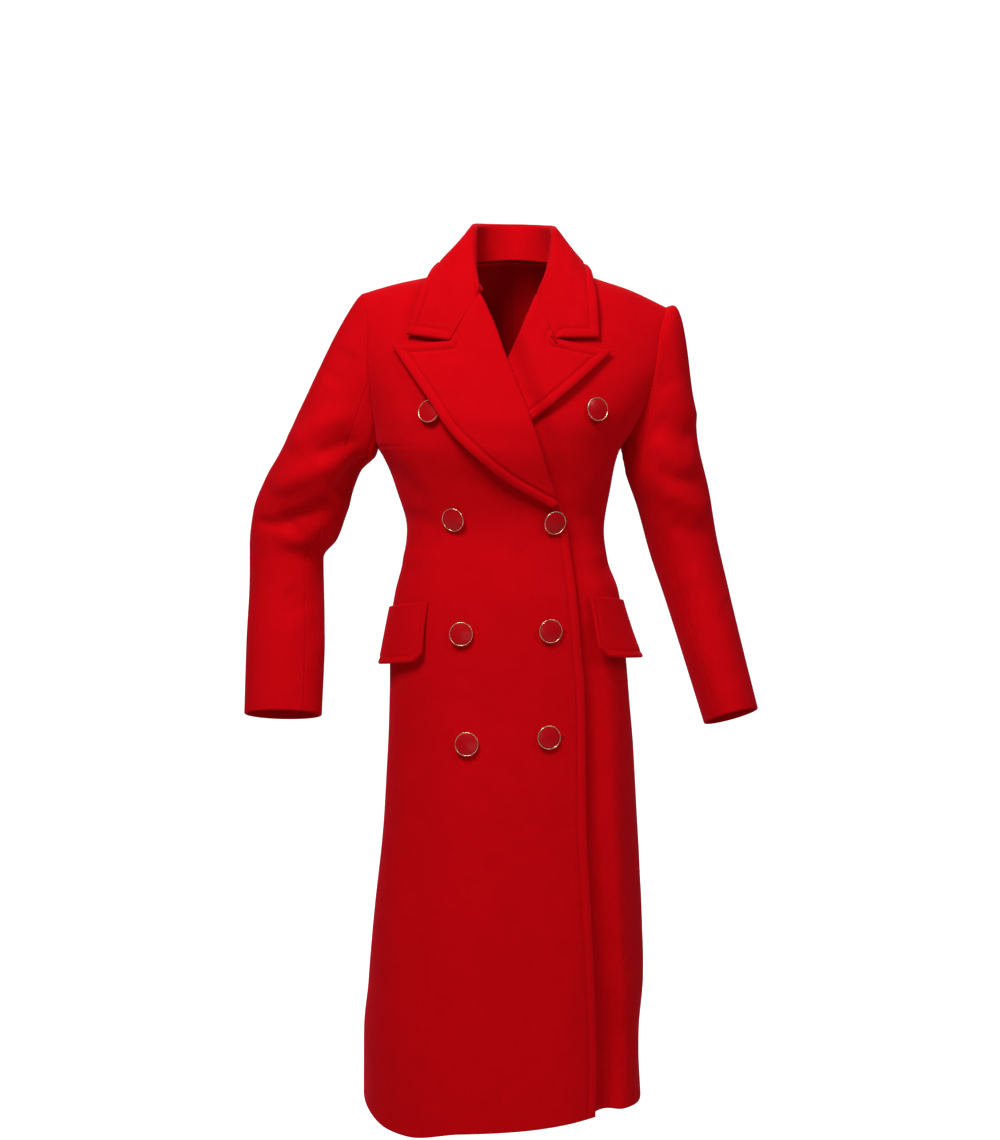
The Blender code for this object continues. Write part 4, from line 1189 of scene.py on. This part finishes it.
def glow(tree, strength, on_coat, seen):
    """Brighter where the camera sees it than where it lights the coat, so the paper stays white."""
    ray = tree.nodes.new("ShaderNodeLightPath")
    chosen = tree.nodes.new("ShaderNodeMapRange")
    chosen.inputs["To Min"].default_value = on_coat
    chosen.inputs["To Max"].default_value = seen
    tree.links.new(ray.outputs["Is Camera Ray"], chosen.inputs["Value"])
    tree.links.new(chosen.outputs["Result"], strength)


def studio_material():
    material = bpy.data.materials.new("studio_paper")
    material.use_nodes = True
    shader = material.node_tree.nodes["Principled BSDF"]
    shader.inputs["Base Color"].default_value = (0.7, 0.7, 0.7, 1.0)
    shader.inputs["Roughness"].default_value = 1.0
    shader.inputs["Specular IOR Level"].default_value = 0.0
    shader.inputs["Emission Color"].default_value = (1.0, 1.0, 1.0, 1.0)
    glow(material.node_tree, shader.inputs["Emission Strength"], PAPER_GLOW_ON_COAT, PAPER_GLOW_SEEN)
    return material


sweep = sweep_points()
number = np.arange(sweep.shape[0] * sweep.shape[1]).reshape(sweep.shape[:2])
quads = np.stack([number[0, :-1], number[1, :-1], number[1, 1:], number[0, 1:]], axis=-1)
floor = add_mesh("studio_sweep", sweep.reshape(-1, 3) / MM, quads, studio_material())


def area_light(name, place, aim, size, power):
    light = bpy.data.lights.new(name, "AREA")
    light.shape = "RECTANGLE"
    light.size, light.size_y = size
    light.energy = power
    obj = bpy.data.objects.new(name, light)
    obj.location = place
    way = np.array(aim, float) - np.array(place, float)
    obj.rotation_euler = (math.acos(-way[2] / np.linalg.norm(way)), 0.0, math.atan2(-way[0], way[1]))
    bpy.context.collection.objects.link(obj)
    return obj


area_light("key_left", (-0.7, -1.4, 1.5), (0.0, 0.0, -0.3), (0.8, 0.8), 49.0)
area_light("key_right", (1.5, -1.7, 1.3), (0.0, 0.0, -0.4), (1.0, 1.0), 18.0)
area_light("front_low", (0.0, -3.4, -0.4), (0.0, 0.0, -0.8), (1.6, 1.2), 6.0)
area_light("back_high", (0.0, 2.6, 2.3), (0.0, 0.0, -0.4), (1.4, 1.4), 55.0)
world = bpy.data.worlds.new("studio_air")
world.use_nodes = True
world.node_tree.nodes["Background"].inputs["Color"].default_value = (1.0, 1.0, 1.0, 1.0)
glow(world.node_tree, world.node_tree.nodes["Background"].inputs["Strength"], AIR_ON_COAT, AIR_SEEN)
bpy.context.scene.world = world
bpy.context.scene.view_settings.view_transform = "Standard"

# %% [markdown]
# The camera stands level with the waist, some 2.4 m in front of the coat, and looks a little down, as in the
# photograph. All its sizes are in metres, but for the lens, which is in millimetres.

# %% Camera
PITCH_DOWN = 3.72
LENS = 58.3
CAMERA_AT = (-0.017, -2.40, -0.237)
camera = bpy.data.cameras.new("camera")
camera.sensor_fit = "VERTICAL"
camera.sensor_height = 36.0
camera.lens = LENS
viewpoint = bpy.data.objects.new("camera", camera)
viewpoint.location = CAMERA_AT
viewpoint.rotation_euler = (math.radians(90.0 - PITCH_DOWN), 0.0, 0.0)
bpy.context.collection.objects.link(viewpoint)
bpy.context.scene.camera = viewpoint
